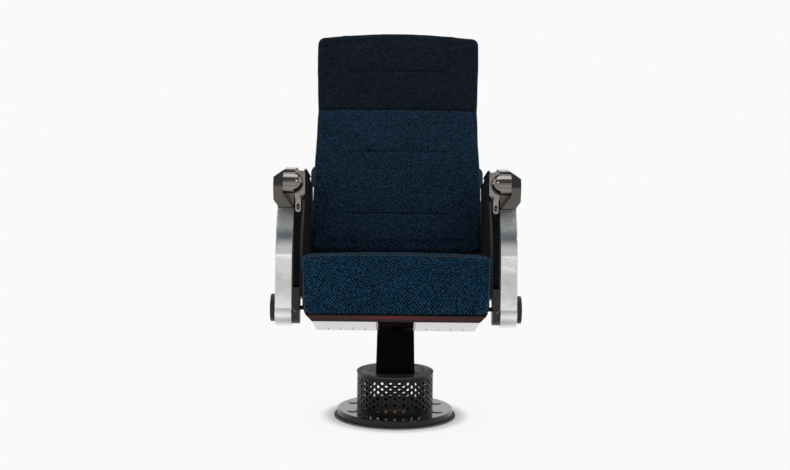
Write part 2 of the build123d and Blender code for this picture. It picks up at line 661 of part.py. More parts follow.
def make_armrest():
    """The arm behind its head, falling to the rear."""
    shape = outline([(HEAD_REAR, SIDE_TOP_Z), (HEAD_REAR, ARM_TOP_Z_FRONT), (ARM_REAR, ARM_TOP_Z_REAR),
                     (ARM_REAR, SIDE_TOP_Z)], {2: 18, 3: 12})
    inner_x = X_PLATE + ARM_INNER_STEP
    top_x, top_z = HEAD_TOP_CHAMFER
    drop = ARM_TOP_Z_FRONT - ARM_TOP_Z_REAR
    section = outline([(inner_x, SIDE_TOP_Z), (inner_x, ARM_TOP_Z_FRONT),
                       (ARM_OUTER_X - top_x, ARM_TOP_Z_FRONT), (ARM_OUTER_X, ARM_TOP_Z_FRONT - top_z),
                       (ARM_OUTER_X, SIDE_TOP_Z - drop), (inner_x, SIDE_TOP_Z - drop)])
    run = ARM_REAR - HEAD_REAR
    start = Pos(0, HEAD_REAR, 0) * (Plane.XZ * section)
    sloped = extrude(start, sqrt(run ** 2 + drop ** 2), dir=(0, run, -drop))
    arm = side_slab(shape, inner_x, ARM_OUTER_X) & sloped
    long_top = arm.edges().filter_by(lambda e: e.length > 100 and e.center().Z > SIDE_TOP_Z + 20)
    return fillet(long_top.sort_by(Axis.X)[0], ARM_EDGE_R)


def make_knuckle():
    """The fixed barrel and ball that the tablet's hinge turns on."""
    crown = BALL_R * sqrt(0.5)
    half = make_face([
        ThreePointArc((BALL_X - BALL_R, 0), (BALL_X - crown, crown), (BALL_X, BALL_R)),
        Polyline((BALL_X, BALL_R), (HEAD_INNER_X, BALL_R), (HEAD_INNER_X, 0), (BALL_X - BALL_R, 0)),
    ])
    return Pos(0, HINGE_Y, HINGE_Z) * revolve(half, Axis.X, 360)


def make_pivot_pin():
    """The pin that the seat turns on, with a snap ring on its inner end."""
    pin = crossrod(PIVOT_D / 2, X_BRACKET - 4, X_TABLET + PIVOT_LUG_W, PIVOT_Y, PIVOT_Z)
    return pin + crossrod(PIVOT_D / 2 + 3, X_BRACKET - 3, X_BRACKET - 1.5, PIVOT_Y, PIVOT_Z)


def make_pivot_spacer():
    """The plastic ring between the seat's bracket and the lug."""
    ring = crossrod(SPACER_R, X_BRACKET_OUT + SOFT_GAP, X_TABLET, PIVOT_Y, PIVOT_Z)
    return ring - crossrod(PIVOT_D / 2 + RUN_GAP, X_BRACKET_OUT, X_TABLET, PIVOT_Y, PIVOT_Z)


# ---- tablet, right hand ------------------------------------------------------------------------
def leaf_front():
    """Y of the tablet's upright edge that carries the hinge leaf."""
    return front_edge(0, BEND_Z + 48)[1][0]


def make_tablet():
    low = POCKET_Z + TABLET_LIFT_GAP
    edge_y = leaf_front()
    bend, _ = front_edge(0, BEND_Z)
    shape = outline([(SIDE_FRONT, low), bend, (edge_y, BEND_Z + 48), (edge_y, TABLET_TOP_FRONT),
                     (TABLET_REAR, TABLET_TOP_REAR), (TABLET_REAR, low)],
                    {0: 12, 1: bend_radius(0), 3: 6, 4: TABLET_CORNER_R, 5: TABLET_CORNER_R})
    board = side_slab(shape, X_TABLET, X_TABLET_OUT)
    screw = Pos((X_TABLET + X_TABLET_OUT) / 2, edge_y, LEAF_LOW_Z + 14) * Rot(-90, 0, 0)
    return board - screw * Cylinder(TABLET_SCREW_D / 2, 20, align=BOTTOM)


def make_tablet_hinge():
    """The socket behind the ball and the leaf down to the tablet, in one casting."""
    reach = BALL_R + CUP_WALL
    centre = Pos(BALL_X, HINGE_Y, HINGE_Z)
    boss = crossrod(reach, CUP_INNER_X, X_TABLET_OUT, HINGE_Y, HINGE_Z)
    boss = chamfer(boss.edges().sort_by(Axis.X)[0], CUP_CHAMFER)
    mouth = block(CUP_INNER_X, X_TABLET_OUT, HINGE_Y - reach, HINGE_Y - CUP_LIP,
                  HINGE_Z - reach, HINGE_Z + reach)
    leaf_x = (X_TABLET + SOFT_GAP, X_TABLET_OUT)
    edge_y = leaf_front()
    leaf = block(*leaf_x, edge_y - LEAF_T, edge_y, LEAF_LOW_Z, HINGE_Z - BALL_R / 2)
    foot = leaf.edges().filter_by(Axis.Y).sort_by(Axis.Z)[:2]
    leaf = fillet(foot, (leaf_x[1] - leaf_x[0]) / 2 - 0.5)
    neck = block(*leaf_x, HINGE_Y - CUP_LIP, edge_y, TABLET_TOP_FRONT + 2, HINGE_Z - BALL_R / 2)
    casting = boss - mouth + leaf + neck - centre * Sphere(BALL_R + CUP_GAP)
    slot_w, slot_h = LEAF_SLOT
    slot = block(-slot_w / 2, slot_w / 2, edge_y - LEAF_T, edge_y, -slot_h / 2, slot_h / 2)
    return casting - Pos(sum(leaf_x) / 2, 0, LEAF_LOW_Z + 14) * slot


def make_tablet_screw():
    """The screw through the leaf's slot into the tablet's edge."""
    place = Pos((X_TABLET + X_TABLET_OUT) / 2, leaf_front(), LEAF_LOW_Z + 14) * Rot(-90, 0, 0)
    shank = Cylinder(TABLET_SCREW_D / 2 - RUN_GAP, 18, align=BOTTOM)
    shank += Pos(0, 0, -LEAF_T) * Cylinder(TABLET_SCREW_D / 2 - RUN_GAP, LEAF_T, align=BOTTOM)
    head = Pos(0, 0, -LEAF_T) * Rot(180, 0, 0) * dome(TABLET_SCREW_D, 2.5)
    return place * (shank + head)


# ---- seat --------------------------------------------------------------------------------------
def board_low(y):
    """Height of the board's underside at a place along it."""
    return BOARD_LIP_Z + BOARD_RISE * (y - SEAT_FRONT - 4) / SEAT_DEPTH


def make_seat_cushion():
    """A thick front roll falling to the rear, crowned across, with sides that are drawn in."""
    drop = tan(radians(SEAT_SLOPE))
    low_front = board_low(SEAT_FRONT + 4) + BOARD_T + SOFT_GAP
    low_rear = board_low(SEAT_REAR + 2) + BOARD_T + SOFT_GAP
    roll_top = SEAT_TOP_FRONT + 30
    bottom = Line((SEAT_FRONT + 5, low_front), (SEAT_REAR + 2, low_rear))
    rear = Line((SEAT_REAR + 2, low_rear), (SEAT_REAR - 2, roll_top))
    top = Line((SEAT_REAR - 2, roll_top), (SEAT_FRONT + 9, roll_top))
    front = ThreePointArc((SEAT_FRONT + 9, roll_top), (SEAT_FRONT, (low_front + roll_top) / 2 - 15),
                          (SEAT_FRONT + 5, low_front))
    along = side_slab(make_face([bottom, rear, top, front]), -SEAT_HALF - 5, SEAT_HALF + 5)

    wide = SEAT_HALF
    narrow = SEAT_HALF - SEAT_DRAW_IN
    shoulder = SEAT_TOP_FRONT - SEAT_CROWN
    middle_half = (wide + narrow) / 2 - SEAT_WAIST
    middle_z = (low_front + shoulder) / 2
    across = make_face([
        ThreePointArc((-wide, shoulder), (0, SEAT_TOP_FRONT), (wide, shoulder)),
        ThreePointArc((wide, shoulder), (middle_half, middle_z), (narrow, low_front)),
        Line((narrow, low_front), (-narrow, low_front)),
        ThreePointArc((-narrow, low_front), (-middle_half, middle_z), (-wide, shoulder)),
    ])
    corners = across.vertices().sort_by(Axis.Y)
    across = fillet(corners[-2:], SEAT_CORNER_R)
    across = fillet(across.vertices().sort_by(Axis.Y)[:2], SEAT_LOW_CORNER_R)
    lead = 20
    start = Pos(0, SEAT_FRONT - lead, lead * drop) * (Plane.XZ * across)
    run = SEAT_DEPTH + 2 * lead
    roll = extrude(start, run / cos(radians(SEAT_SLOPE)), dir=(0, 1, -drop))
    cushion = along & roll
    face = cushion.faces().sort_by(Axis.Y)
    rim = face[0].edges().sort_by(Axis.Z)[1:]
    return fillet(rim, SEAT_CORNER_R - 2)


def make_seat_board():
    """The lacquered board: a bevelled lip in front, notched for the stop and the pivot."""
    front_y = SEAT_FRONT + 4
    rear_y = SEAT_REAR + 2
    shape = outline([(front_y, board_low(front_y)), (front_y, board_low(front_y) + BOARD_T),
                     (rear_y, board_low(rear_y) + BOARD_T), (rear_y, board_low(rear_y))])
    board = side_slab(shape, -X_BRACKET, X_BRACKET)
    bevel_end = front_y + BOARD_BEVEL_LENGTH
    lip_top = BOARD_LIP_HALF + BOARD_T + 2
    bevel = outline([(BOARD_LIP_HALF, BOARD_LIP_Z - 10), (BOARD_LIP_HALF, BOARD_LIP_Z),
                     (lip_top, BOARD_LIP_Z + BOARD_T + 2), (lip_top, BOARD_LIP_Z + 40),
                     (X_BRACKET + 5, BOARD_LIP_Z + 40), (X_BRACKET + 5, BOARD_LIP_Z - 10)])
    cut = front_slab(bevel, front_y - 1, bevel_end)
    notch = block(X_BRACKET - NOTCH_DEPTH, X_BRACKET + 1, STOP_Y - NOTCH[0], STOP_Y + NOTCH[1],
                  BOARD_LIP_Z, STOP_Z + LEG_BOSS_R)
    pocket = crossrod(PIVOT_D / 2 + 8, X_BRACKET - NOTCH_DEPTH, X_BRACKET + 1, PIVOT_Y, PIVOT_Z)
    for piece in (cut, notch, pocket):
        board = board - piece - left(piece)
    return board


def make_seat_pan():
    """The hollow under-shell: a wedge that hangs to its lowest line over the column, with grooves."""
    front = (SEAT_FRONT + 8, board_low(SEAT_FRONT + 8))
    rear = (SEAT_REAR - 4, board_low(SEAT_REAR - 4))
    low_front = (PAN_LOW_Y, PAN_LOW_Z)
    low_rear = (PAN_LOW_Y + PAN_LOW_FLAT, PAN_LOW_Z)
    pan = side_slab(outline([front, low_front, low_rear, rear], {1: 12, 2: 12}),
                    -BOARD_LIP_HALF, BOARD_LIP_HALF)
    inner_half = BOARD_LIP_HALF - PAN_WALL
    rise = 2.0
    inside = outline([(front[0] + PAN_WALL * 4, front[1] + rise), (low_front[0], low_front[1] + PAN_WALL),
                      (low_rear[0], low_rear[1] + PAN_WALL), (rear[0] - PAN_WALL * 1.6, rear[1] + rise)])
    pan -= side_slab(inside, -inner_half, inner_half)
    slope = (low_front[1] - front[1]) / (low_front[0] - front[0])
    ends = [(y, front[1] + slope * (y - front[0])) for y in (GROOVE_FRONT, GROOVE_REAR)]
    groove = outline([(ends[0][0], ends[0][1] - 3), (ends[1][0], ends[1][1] - 3),
                      (ends[1][0], ends[1][1] + GROOVE_DEPTH), (ends[0][0], ends[0][1] + GROOVE_DEPTH)])
    grooves = []
    for index in range(GROOVE_COUNT):
        x = (index - (GROOVE_COUNT - 1) / 2) * GROOVE_PITCH
        grooves.append(side_slab(groove, x - GROOVE_W / 2, x + GROOVE_W / 2))
    return pan - grooves


def bracket_screw_places():
    """Where the seat bracket's screws are, in Y and Z."""
    return [(y, board_low(y) + BOARD_T / 2) for y in BRACKET_SCREWS_Y]


def make_seat_bracket():
    """The steel side bracket of the seat, from the pivot to the tongue above the stop."""
    pad_top = STOP_TOP + SOFT_GAP + STOP_PAD_H
    tongue = (STOP_Y + BRACKET_TONGUE[0], STOP_Y + BRACKET_TONGUE[1])
    rear = BRACKET_REAR
    boss_r = PIVOT_D / 2 + BUSH_WALL + 7
    shape = outline([(tongue[0], pad_top), (tongue[0], pad_top + BRACKET_TONGUE_H),
                     (BRACKET_NECK_Y, pad_top + BRACKET_TONGUE_H),
                     (PIVOT_Y - 2 * boss_r, board_low(PIVOT_Y) + BOARD_T), (rear, board_low(rear) + BOARD_T),
                     (rear, board_low(rear)), (PIVOT_Y + boss_r, PIVOT_Z - boss_r * 0.8),
                     (PIVOT_Y - boss_r, PIVOT_Z - boss_r * 0.9), (tongue[1] + 10, board_low(tongue[1] + 10)),
                     (tongue[1], pad_top)],
                    {0: 4, 1: 6, 8: 5})
    plate = side_slab(shape, X_BRACKET, X_BRACKET_OUT)
    plate += crossrod(boss_r, X_BRACKET, X_BRACKET_OUT, PIVOT_Y, PIVOT_Z)
    plate -= crossrod(PIVOT_D / 2 + BUSH_WALL, X_BRACKET, X_BRACKET_OUT, PIVOT_Y, PIVOT_Z)
    bores = [crossrod(BRACKET_BORE_R, X_BRACKET, X_BRACKET_OUT, y, z) for y, z in bracket_screw_places()]
    return plate - bores


def make_pivot_bush():
    bush = crossrod(PIVOT_D / 2 + BUSH_WALL, X_BRACKET, X_BRACKET_OUT, PIVOT_Y, PIVOT_Z)
    return bush - crossrod(PIVOT_D / 2 + RUN_GAP, X_BRACKET, X_BRACKET_OUT, PIVOT_Y, PIVOT_Z)


def make_stop_pad():
    """The pad under the bracket's tongue that comes down on the stop sleeve."""
    low = STOP_TOP + SOFT_GAP
    return block(X_BRACKET - 2.5, X_BRACKET_OUT, STOP_Y - STOP_PAD_W / 2, STOP_Y + STOP_PAD_W / 2,
                 low, low + STOP_PAD_H)


def make_bracket_screws():
    screws = []
    for y, z in bracket_screw_places():
        head = Pos(X_BRACKET_OUT, y, z) * Rot(0, 90, 0) * dome(4, 0.8)
        screws.append(crossrod(BRACKET_BORE_R - RUN_GAP, X_BRACKET, X_BRACKET_OUT, y, z) + head)
    return group(*screws)


# ---- back --------------------------------------------------------------------------------------
def back_outline(inset, low, top):
    """The back's outline in its own plane: X across, Y along the back."""
    wide = BACK_WIDE_HALF - inset
    waist = BACK_WAIST_HALF - inset
    head = BACK_TOP_HALF - inset
    shoulder = top - BACK_TOP_CROWN
    side = Line((wide, low), (wide, BACK_WIDE_TO))
    flare = Spline((wide, BACK_WIDE_TO), (waist, HEADREST_SEAM - 15), (head, shoulder - 40),
                   tangents=((0, 1), (0, 1)))
    upper = Line((head, shoulder - 40), (head, shoulder))
    half = [side, flare, upper]
    crown = ThreePointArc((head, shoulder), (0, top), (-head, shoulder))
    other = [mirror(edge, about=Plane.YZ) for edge in half]
    bottom = Line((wide, low), (-wide, low))
    face = make_face([*half, crown, *other, bottom])
    corners = face.vertices().sort_by(Axis.Y)
    return fillet(corners[:2] + corners[-2:], BACK_CORNER_R)


def back_slab(face, y0, y1):
    """A face drawn in the back's plane, made solid between two depths behind its front."""
    depth = BACK_PLANE.y_dir
    plane = Plane(origin=BACK_PLANE.origin + depth * y0, x_dir=(1, 0, 0), z_dir=-depth)
    return extrude(plane * face, y1 - y0, dir=depth)


def bulge_radius():
    """Radius of the back's crowned front."""
    return (BACK_WIDE_HALF ** 2 + BACK_BULGE ** 2) / (2 * BACK_BULGE)


def front_band(depth_out, depth_in, half, u0, u1):
    """A strip that follows the back's crowned front, between two depths."""
    radius = bulge_radius()
    def arc_point(x, depth):
        return (x, radius - sqrt((radius - depth) ** 2 - x ** 2))
    edges = [ThreePointArc(arc_point(-half, depth_out), arc_point(0, depth_out), arc_point(half, depth_out)),
             Line(arc_point(half, depth_out), arc_point(half, depth_in)),
             ThreePointArc(arc_point(half, depth_in), arc_point(0, depth_in), arc_point(-half, depth_in)),
             Line(arc_point(-half, depth_in), arc_point(-half, depth_out))]
    return extrude(BACK_PLANE.offset(u0) * make_face(edges), u1 - u0, dir=BACK_PLANE.z_dir)


def make_back_cushion():
    """The reclined back with its crowned front, the headrest seam and the sewn tucks."""
    body = back_slab(back_outline(0, BACK_LOW, BACK_TOP), 0, BACK_THICK)
    body = body & front_band(0, BACK_THICK + 40, BACK_WIDE_HALF + 10, BACK_LOW - 20, BACK_TOP + 20)
    front = body.faces().filter_by(GeomType.CYLINDER).sort_by(SortBy.AREA)[-1]
    body = fillet(front.edges(), BACK_EDGE_R)
    half_seam = SEAM_W / 2
    grooves = [front_band(-3, SEAM_DEPTH, BACK_WIDE_HALF + 5,
                          HEADREST_SEAM - half_seam, HEADREST_SEAM + half_seam)]
    grooves += [front_band(-3, SEAM_DEPTH, TUCK_HALF, u - half_seam, u + half_seam) for u in TUCKS]
    return body - grooves


def make_back_shell():
    """The moulded outer shell behind the cushion, open towards it, with an ear and a wing on each side."""
    face = back_outline(SHELL_INSET, BACK_LOW - 22, BACK_TOP - 8)
    ears = Pos(0, EAR_U) * RectangleRounded(2 * EAR_HALF, EAR_LENGTH, 20)
    wings = Pos(0, (WING_LOW + WING_TOP) / 2) * RectangleRounded(2 * EAR_HALF, WING_TOP - WING_LOW, 12)
    front = BACK_THICK + SOFT_GAP
    shell = back_slab(face, front, front + SHELL_T)
    rear_face = shell.faces().sort_by(lambda f: f.center().dot(BACK_PLANE.y_dir))[-1]
    shell = fillet(rear_face.edges(), SHELL_T * 0.6)
    shell = shell + back_slab(ears, front, front + SHELL_SKIN) + back_slab(wings, front, front + SHELL_SKIN)
    hollow = back_outline(SHELL_INSET + SHELL_SKIN * 3, BACK_LOW - 10, BACK_TOP - 20)
    return shell - back_slab(hollow, front, front + SHELL_T - SHELL_SKIN)


def make_back_uprights():
    """Two bent flats from the beam's rear face up the shell."""
    behind = BACK_THICK + SOFT_GAP + SHELL_T
    origin = BACK_PLANE.origin + BACK_PLANE.y_dir * behind
    lean = tan(radians(RECLINE))
    knee_z = origin.Z + (BEAM_REAR - origin.Y) / lean
    top_z = knee_z + UPRIGHT_REACH * cos(radians(RECLINE))
    top_y = BEAM_REAR + UPRIGHT_REACH * sin(radians(RECLINE))
    thick = UPRIGHT_T
    shape = outline([(BEAM_REAR, BEAM_LOW + 6), (BEAM_REAR, knee_z), (top_y, top_z),
                     (top_y + thick, top_z), (BEAM_REAR + thick, knee_z), (BEAM_REAR + thick, BEAM_LOW + 6)],
                    {4: UPRIGHT_BEND_R})
    bar = side_slab(shape, UPRIGHT_X - UPRIGHT_W / 2, UPRIGHT_X + UPRIGHT_W / 2)
    return on_both_sides(bar)


def make_back_screws():
    """Dome-headed screws on the uprights: two into the beam and two into the shell on each."""
    behind = BACK_THICK + SOFT_GAP + SHELL_T + UPRIGHT_T
    depth = BACK_PLANE.y_dir
    screws = []
    for u in BACK_SCREWS_U:
        origin = BACK_PLANE.origin + BACK_PLANE.z_dir * u + depth * behind + Vector(UPRIGHT_X, 0, 0)
        screws.append(Plane(origin=origin, x_dir=(1, 0, 0), z_dir=depth) * dome(BACK_SCREW_D, SCREW_DOME))
    for dz in BEAM_SCREWS_DZ:
        place = Pos(UPRIGHT_X, BEAM_REAR + UPRIGHT_T, BEAM_Z + dz) * Rot(-90, 0, 0)
        screws.append(place * dome(BACK_SCREW_D, SCREW_DOME))
    return on_both_sides(group(*screws))


# ---- the whole seat ----------------------------------------------------------------------------
def make_nodes():
    """Every piece by its name."""
    nodes = {
        "floor_gasket": make_floor_gasket(),
        "base_plate": make_base_plate(),
        "anchor_nuts": make_anchor_nuts(),
        "anchor_caps": make_anchor_caps(),
        "diffuser_screen": make_diffuser_screen(),
        "diffuser_struts": make_diffuser_struts(),
        "diffuser_cap": make_diffuser_cap(),
        "column_tube": make_column_tube(),
        "column_screws": make_column_screws(),
        "support_arm": make_support_arm(),
        "rear_beam": make_rear_beam(),
        "beam_flanges": make_beam_flanges(),
        "beam_bolts": make_beam_bolts(),
        "stop_pins": on_both_sides(make_stop_pin()),
        "stop_sleeves": on_both_sides(make_stop_sleeve()),
        "front_screws": on_both_sides(make_front_screw()),
        "pivot_pins": on_both_sides(make_pivot_pin()),
        "pivot_spacers": on_both_sides(make_pivot_spacer()),
        "back_cushion": make_back_cushion(),
        "back_shell": make_back_shell(),
        "back_uprights": make_back_uprights(),
        "back_screws": make_back_screws(),
        "seat_cushion": make_seat_cushion(),
        "seat_board": make_seat_board(),
        "seat_pan": make_seat_pan(),
        "pivot_bushes": on_both_sides(make_pivot_bush()),
        "stop_pads": on_both_sides(make_stop_pad()),
        "bracket_screws": on_both_sides(make_bracket_screws()),
    }
    handed = {
        "side_plate": make_side_plate(),
        "side_rail": make_side_rail(),
        "front_post": make_front_post(),
        "inner_panel": make_inner_panel(),
        "inner_pad": make_inner_pad(),
        "panel_trim": make_panel_trim(),
        "inner_cap_rail": make_inner_cap_rail(),
        "leg": make_leg(),
        "leg_cap": make_leg_cap(),
        "arm_head": make_arm_head(),
        "armrest": make_armrest(),
        "knuckle": make_knuckle(),
        "seat_bracket": make_seat_bracket(),
        "tablet": make_tablet(),
        "tablet_hinge": make_tablet_hinge(),
        "tablet_screw": make_tablet_screw(),
    }
    for name, piece in handed.items():
        nodes[name + "_right"] = piece
        nodes[name + "_left"] = left(piece)
    return nodes


os.makedirs("parts", exist_ok=True)
for node_name, node_shape in make_nodes().items():
    export_step(node_shape, f"parts/{node_name}.step")
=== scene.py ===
"""Looks of the tip up auditorium seat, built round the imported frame. Metres, +Z up, front towards -Y."""
import json
import math
import random

import bmesh
import bpy
import numpy as np
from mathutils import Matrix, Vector, geometry, noise
from mathutils.bvhtree import BVHTree


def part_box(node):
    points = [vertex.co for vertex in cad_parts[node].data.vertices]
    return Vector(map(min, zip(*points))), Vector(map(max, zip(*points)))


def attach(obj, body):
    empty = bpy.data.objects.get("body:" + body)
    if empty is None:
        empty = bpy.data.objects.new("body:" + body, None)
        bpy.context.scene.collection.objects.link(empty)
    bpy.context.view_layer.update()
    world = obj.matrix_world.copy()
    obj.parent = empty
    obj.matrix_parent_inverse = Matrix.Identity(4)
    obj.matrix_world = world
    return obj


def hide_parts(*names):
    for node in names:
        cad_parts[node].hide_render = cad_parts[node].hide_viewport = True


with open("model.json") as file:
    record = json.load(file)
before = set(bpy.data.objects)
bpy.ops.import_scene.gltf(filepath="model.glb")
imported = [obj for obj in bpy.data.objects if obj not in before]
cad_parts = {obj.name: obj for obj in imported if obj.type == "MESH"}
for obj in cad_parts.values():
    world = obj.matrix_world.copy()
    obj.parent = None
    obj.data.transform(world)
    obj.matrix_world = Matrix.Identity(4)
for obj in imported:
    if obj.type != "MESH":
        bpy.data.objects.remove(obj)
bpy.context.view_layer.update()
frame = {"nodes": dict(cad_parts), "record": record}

scene = bpy.context.scene
nodes = frame["nodes"]


# ---- camera, light and floor -------------------------------------------------
EYE = (-0.0081, -3.530, 0.854)
EYE_ROLL = math.radians(-0.595)
LENS = 61.52  # millimetres
SENSOR = 36.0  # millimetres
SHIFT_UP = -0.18608  # in widths of the sensor
BACKDROP = 0.955  # brightness of the white behind the object and of the far floor
FLOOR_R = 9.0
DUCT_R = 0.085  # the duct's mouth in the floor, under the air opening
DUCT_EDGE = 0.010
SHADE_FROM, SHADE_TO = 0.156, 0.205  # the plate's shadow fades between these distances


def grey(value):
    return (value,) * 3


def shaded(colour, factor, lift=0.0):
    """A colour made darker or lighter, held below white."""
    return tuple(min(1.0, c * factor + lift) for c in colour)


def make_camera():
    data = bpy.data.cameras.new("camera")
    data.lens = LENS
    data.sensor_width = SENSOR
    data.shift_y = SHIFT_UP
    camera = bpy.data.objects.new("camera", data)
    camera.location = EYE
    camera.rotation_euler = (math.radians(90), EYE_ROLL, 0)
    scene.collection.objects.link(camera)
    scene.camera = camera


def softbox(name, place, target, size, power, mirrored=True):
    data = bpy.data.lights.new(name, "AREA")
    data.shape = "RECTANGLE"
    data.size, data.size_y = size
    data.energy = power
    lamp = bpy.data.objects.new(name, data)
    lamp.location = place
    lamp.rotation_euler = (Vector(target) - Vector(place)).to_track_quat("-Z", "Y").to_euler()
    lamp.visible_camera = False
    lamp.visible_glossy = mirrored
    scene.collection.objects.link(lamp)


class Tree:
    """A node tree under construction."""

    def __init__(self, tree):
        self.nodes, self.links = tree.nodes, tree.links
        self.nodes.clear()

    def feed(self, socket, value):
        """Links a socket to another one, or sets its value."""
        if isinstance(value, bpy.types.NodeSocket):
            self.links.new(value, socket)
        else:
            socket.default_value = value

    def add(self, kind, inputs=None, **settings):
        made = self.nodes.new(kind)
        for key, value in settings.items():
            setattr(made, key, value)
        for key, value in (inputs or {}).items():
            self.feed(made.inputs[key], value)
        return made

    def math(self, operation, a, b=0.0, clamp=False):
        made = self.add("ShaderNodeMath", operation=operation, use_clamp=clamp)
        for socket, value in zip(made.inputs, (a, b)):
            self.feed(socket, value)
        return made.outputs[0]

    def remap(self, value, low, high, to_low, to_high, smooth=False):
        made = self.add("ShaderNodeMapRange", {"Value": value, "From Min": low, "From Max": high,
                                               "To Min": to_low, "To Max": to_high})
        if smooth:
            made.interpolation_type = "SMOOTHSTEP"
        return made.outputs[0]

    def ramp(self, fac, stops):
        made = self.add("ShaderNodeValToRGB", {"Fac": fac})
        band = made.color_ramp
        while len(band.elements) < len(stops):
            band.elements.new(1.0)
        for element, (place, colour) in zip(band.elements, stops):
            element.position = place
            element.color = (*colour, 1.0)
        return made.outputs["Color"]

    def mix(self, fac, a, b, blend="MIX"):
        made = self.add("ShaderNodeMix", data_type="RGBA", blend_type=blend)
        for key, value in ((0, fac), (6, a), (7, b)):
            self.feed(made.inputs[key], (*value, 1.0) if isinstance(value, tuple) else value)
        return made.outputs[2]


def make_world():
    """Even light all round; mirrors see a room, dark above the front and pale behind."""
    world = bpy.data.worlds.new("studio")
    scene.world = world
    world.use_nodes = True
    t = Tree(world.node_tree)
    path = t.add("ShaderNodeLightPath")
    ray = t.add("ShaderNodeTexCoord")
    axes = t.add("ShaderNodeSeparateXYZ", {"Vector": ray.outputs["Generated"]}).outputs
    up = t.remap(axes["Z"], -1, 1, 0, 1)
    ahead = t.ramp(up, [
        (0.0, grey(0.60)), (0.50, grey(0.57)), (0.61, grey(0.555)), (0.655, grey(0.46)),
        (0.703, (0.34, 0.345, 0.35)), (0.735, (0.24, 0.25, 0.26)), (0.77, (0.135, 0.15, 0.16)),
        (0.84, (0.12, 0.14, 0.15)), (0.89, (0.145, 0.17, 0.18)), (0.933, (0.21, 0.245, 0.26)),
        (0.955, (0.27, 0.31, 0.33)), (1.0, grey(0.40))])
    behind = t.ramp(up, [(0.0, grey(0.90)), (0.50, grey(0.955)), (0.72, grey(0.93)), (0.86, grey(0.5)),
                         (1.0, grey(0.35))])
    room = t.mix(t.remap(axes["Y"], -0.25, 0.15, 0.0, 1.0, smooth=True), ahead, behind)
    plain = t.add("ShaderNodeBackground", {"Color": (*grey(1), 1), "Strength": 0.50})
    seen = t.add("ShaderNodeBackground", {"Color": (*grey(BACKDROP), 1), "Strength": 1.0})
    shine = t.add("ShaderNodeBackground", {"Color": room, "Strength": 1.0})
    first = t.add("ShaderNodeMixShader", {0: path.outputs["Is Glossy Ray"], 1: plain.outputs[0],
                                          2: shine.outputs[0]})
    clear = t.math("MAXIMUM", path.outputs["Is Camera Ray"], path.outputs["Is Transmission Ray"])
    last = t.add("ShaderNodeMixShader", {0: clear, 1: first.outputs[0], 2: seen.outputs[0]})
    out = t.add("ShaderNodeOutputWorld")
    t.links.new(last.outputs[0], out.inputs["Surface"])


def make_floor():
    """A pale disc that keeps the object's shadow near it and runs into the white beyond; in reflections it
    shows painted bands of shade and light in front of the object.
    """
    mesh = bpy.data.meshes.new("floor")
    build = bmesh.new()
    bmesh.ops.create_circle(build, cap_ends=True, segments=96, radius=FLOOR_R)
    build.to_mesh(mesh)
    build.free()
    floor = bpy.data.objects.new("floor", mesh)
    scene.collection.objects.link(floor)
    material = bpy.data.materials.new("floor_white")
    material.use_nodes = True
    t = Tree(material.node_tree)
    place = t.add("ShaderNodeTexCoord").outputs["Object"]
    far = t.add("ShaderNodeVectorMath", {0: place}, operation="LENGTH").outputs["Value"]
    depth = t.add("ShaderNodeSeparateXYZ", {"Vector": place}).outputs["Y"]
    path = t.add("ShaderNodeLightPath")
    outside = t.remap(far, DUCT_R, DUCT_R + DUCT_EDGE, 0.0, 1.0)
    plain = t.add("ShaderNodeBsdfDiffuse", {"Color": t.mix(outside, (0.50, 0.36, 0.27), grey(0.86))})
    seen = t.add("ShaderNodeEmission", {"Color": t.mix(outside, (0.17, 0.12, 0.09), grey(BACKDROP)),
                                        "Strength": 1.0})
    # painted shade and light: bands across the floor in front, seen only in reflections, darker near the
    # object and under the camera
    floor_shade_bands = t.ramp(t.remap(depth, -5.0, 0.0, 0.0, 1.0), [
        (0.0, grey(0.99)), (0.315, grey(0.99)), (0.335, grey(0.54)), (0.50, grey(0.53)),
        (0.55, grey(0.66)), (0.59, grey(0.92)), (0.63, grey(0.92)), (0.68, grey(0.60)),
        (0.80, grey(0.62)), (0.915, grey(0.90)), (0.955, grey(0.50)), (0.985, grey(0.62)),
        (1.0, grey(0.90))])
    mirrored = t.add("ShaderNodeEmission", {"Color": floor_shade_bands, "Strength": 1.0})
    keep = t.math("MULTIPLY", t.remap(far, SHADE_FROM, SHADE_TO, 0.30, 0.96, smooth=True),
                  t.remap(far, 0.2, 0.5, 1.0, 1.04))
    clear = t.math("MAXIMUM", path.outputs["Is Camera Ray"], path.outputs["Is Transmission Ray"])
    mixed = t.add("ShaderNodeMixShader", {0: t.math("MULTIPLY", clear, keep), 1: plain.outputs[0],
                                          2: seen.outputs[0]})
    mixed = t.add("ShaderNodeMixShader", {0: t.math("MULTIPLY", path.outputs["Is Glossy Ray"], keep),
                                          1: mixed.outputs[0], 2: mirrored.outputs[0]})
    out = t.add("ShaderNodeOutputMaterial")
    t.links.new(mixed.outputs[0], out.inputs["Surface"])
    mesh.materials.append(material)


make_camera()
make_world()
make_floor()
softbox("top_light", place=(0.0, 0.2, 3.0), target=(0, 0, 0.3), size=(2.6, 2.2), power=26)
softbox("front_light", place=(0.0, -4.7, 1.0), target=(0, 0, 0.5), size=(3.2, 1.1), power=13, mirrored=False)
for name, side in (("left_light", -1), ("right_light", 1)):
    softbox(name, place=(side * 1.9, -2.3, 2.2), target=(side * 0.2, 0, 0.55), size=(0.8, 0.6), power=6.5)
scene.view_settings.view_transform = "Standard"


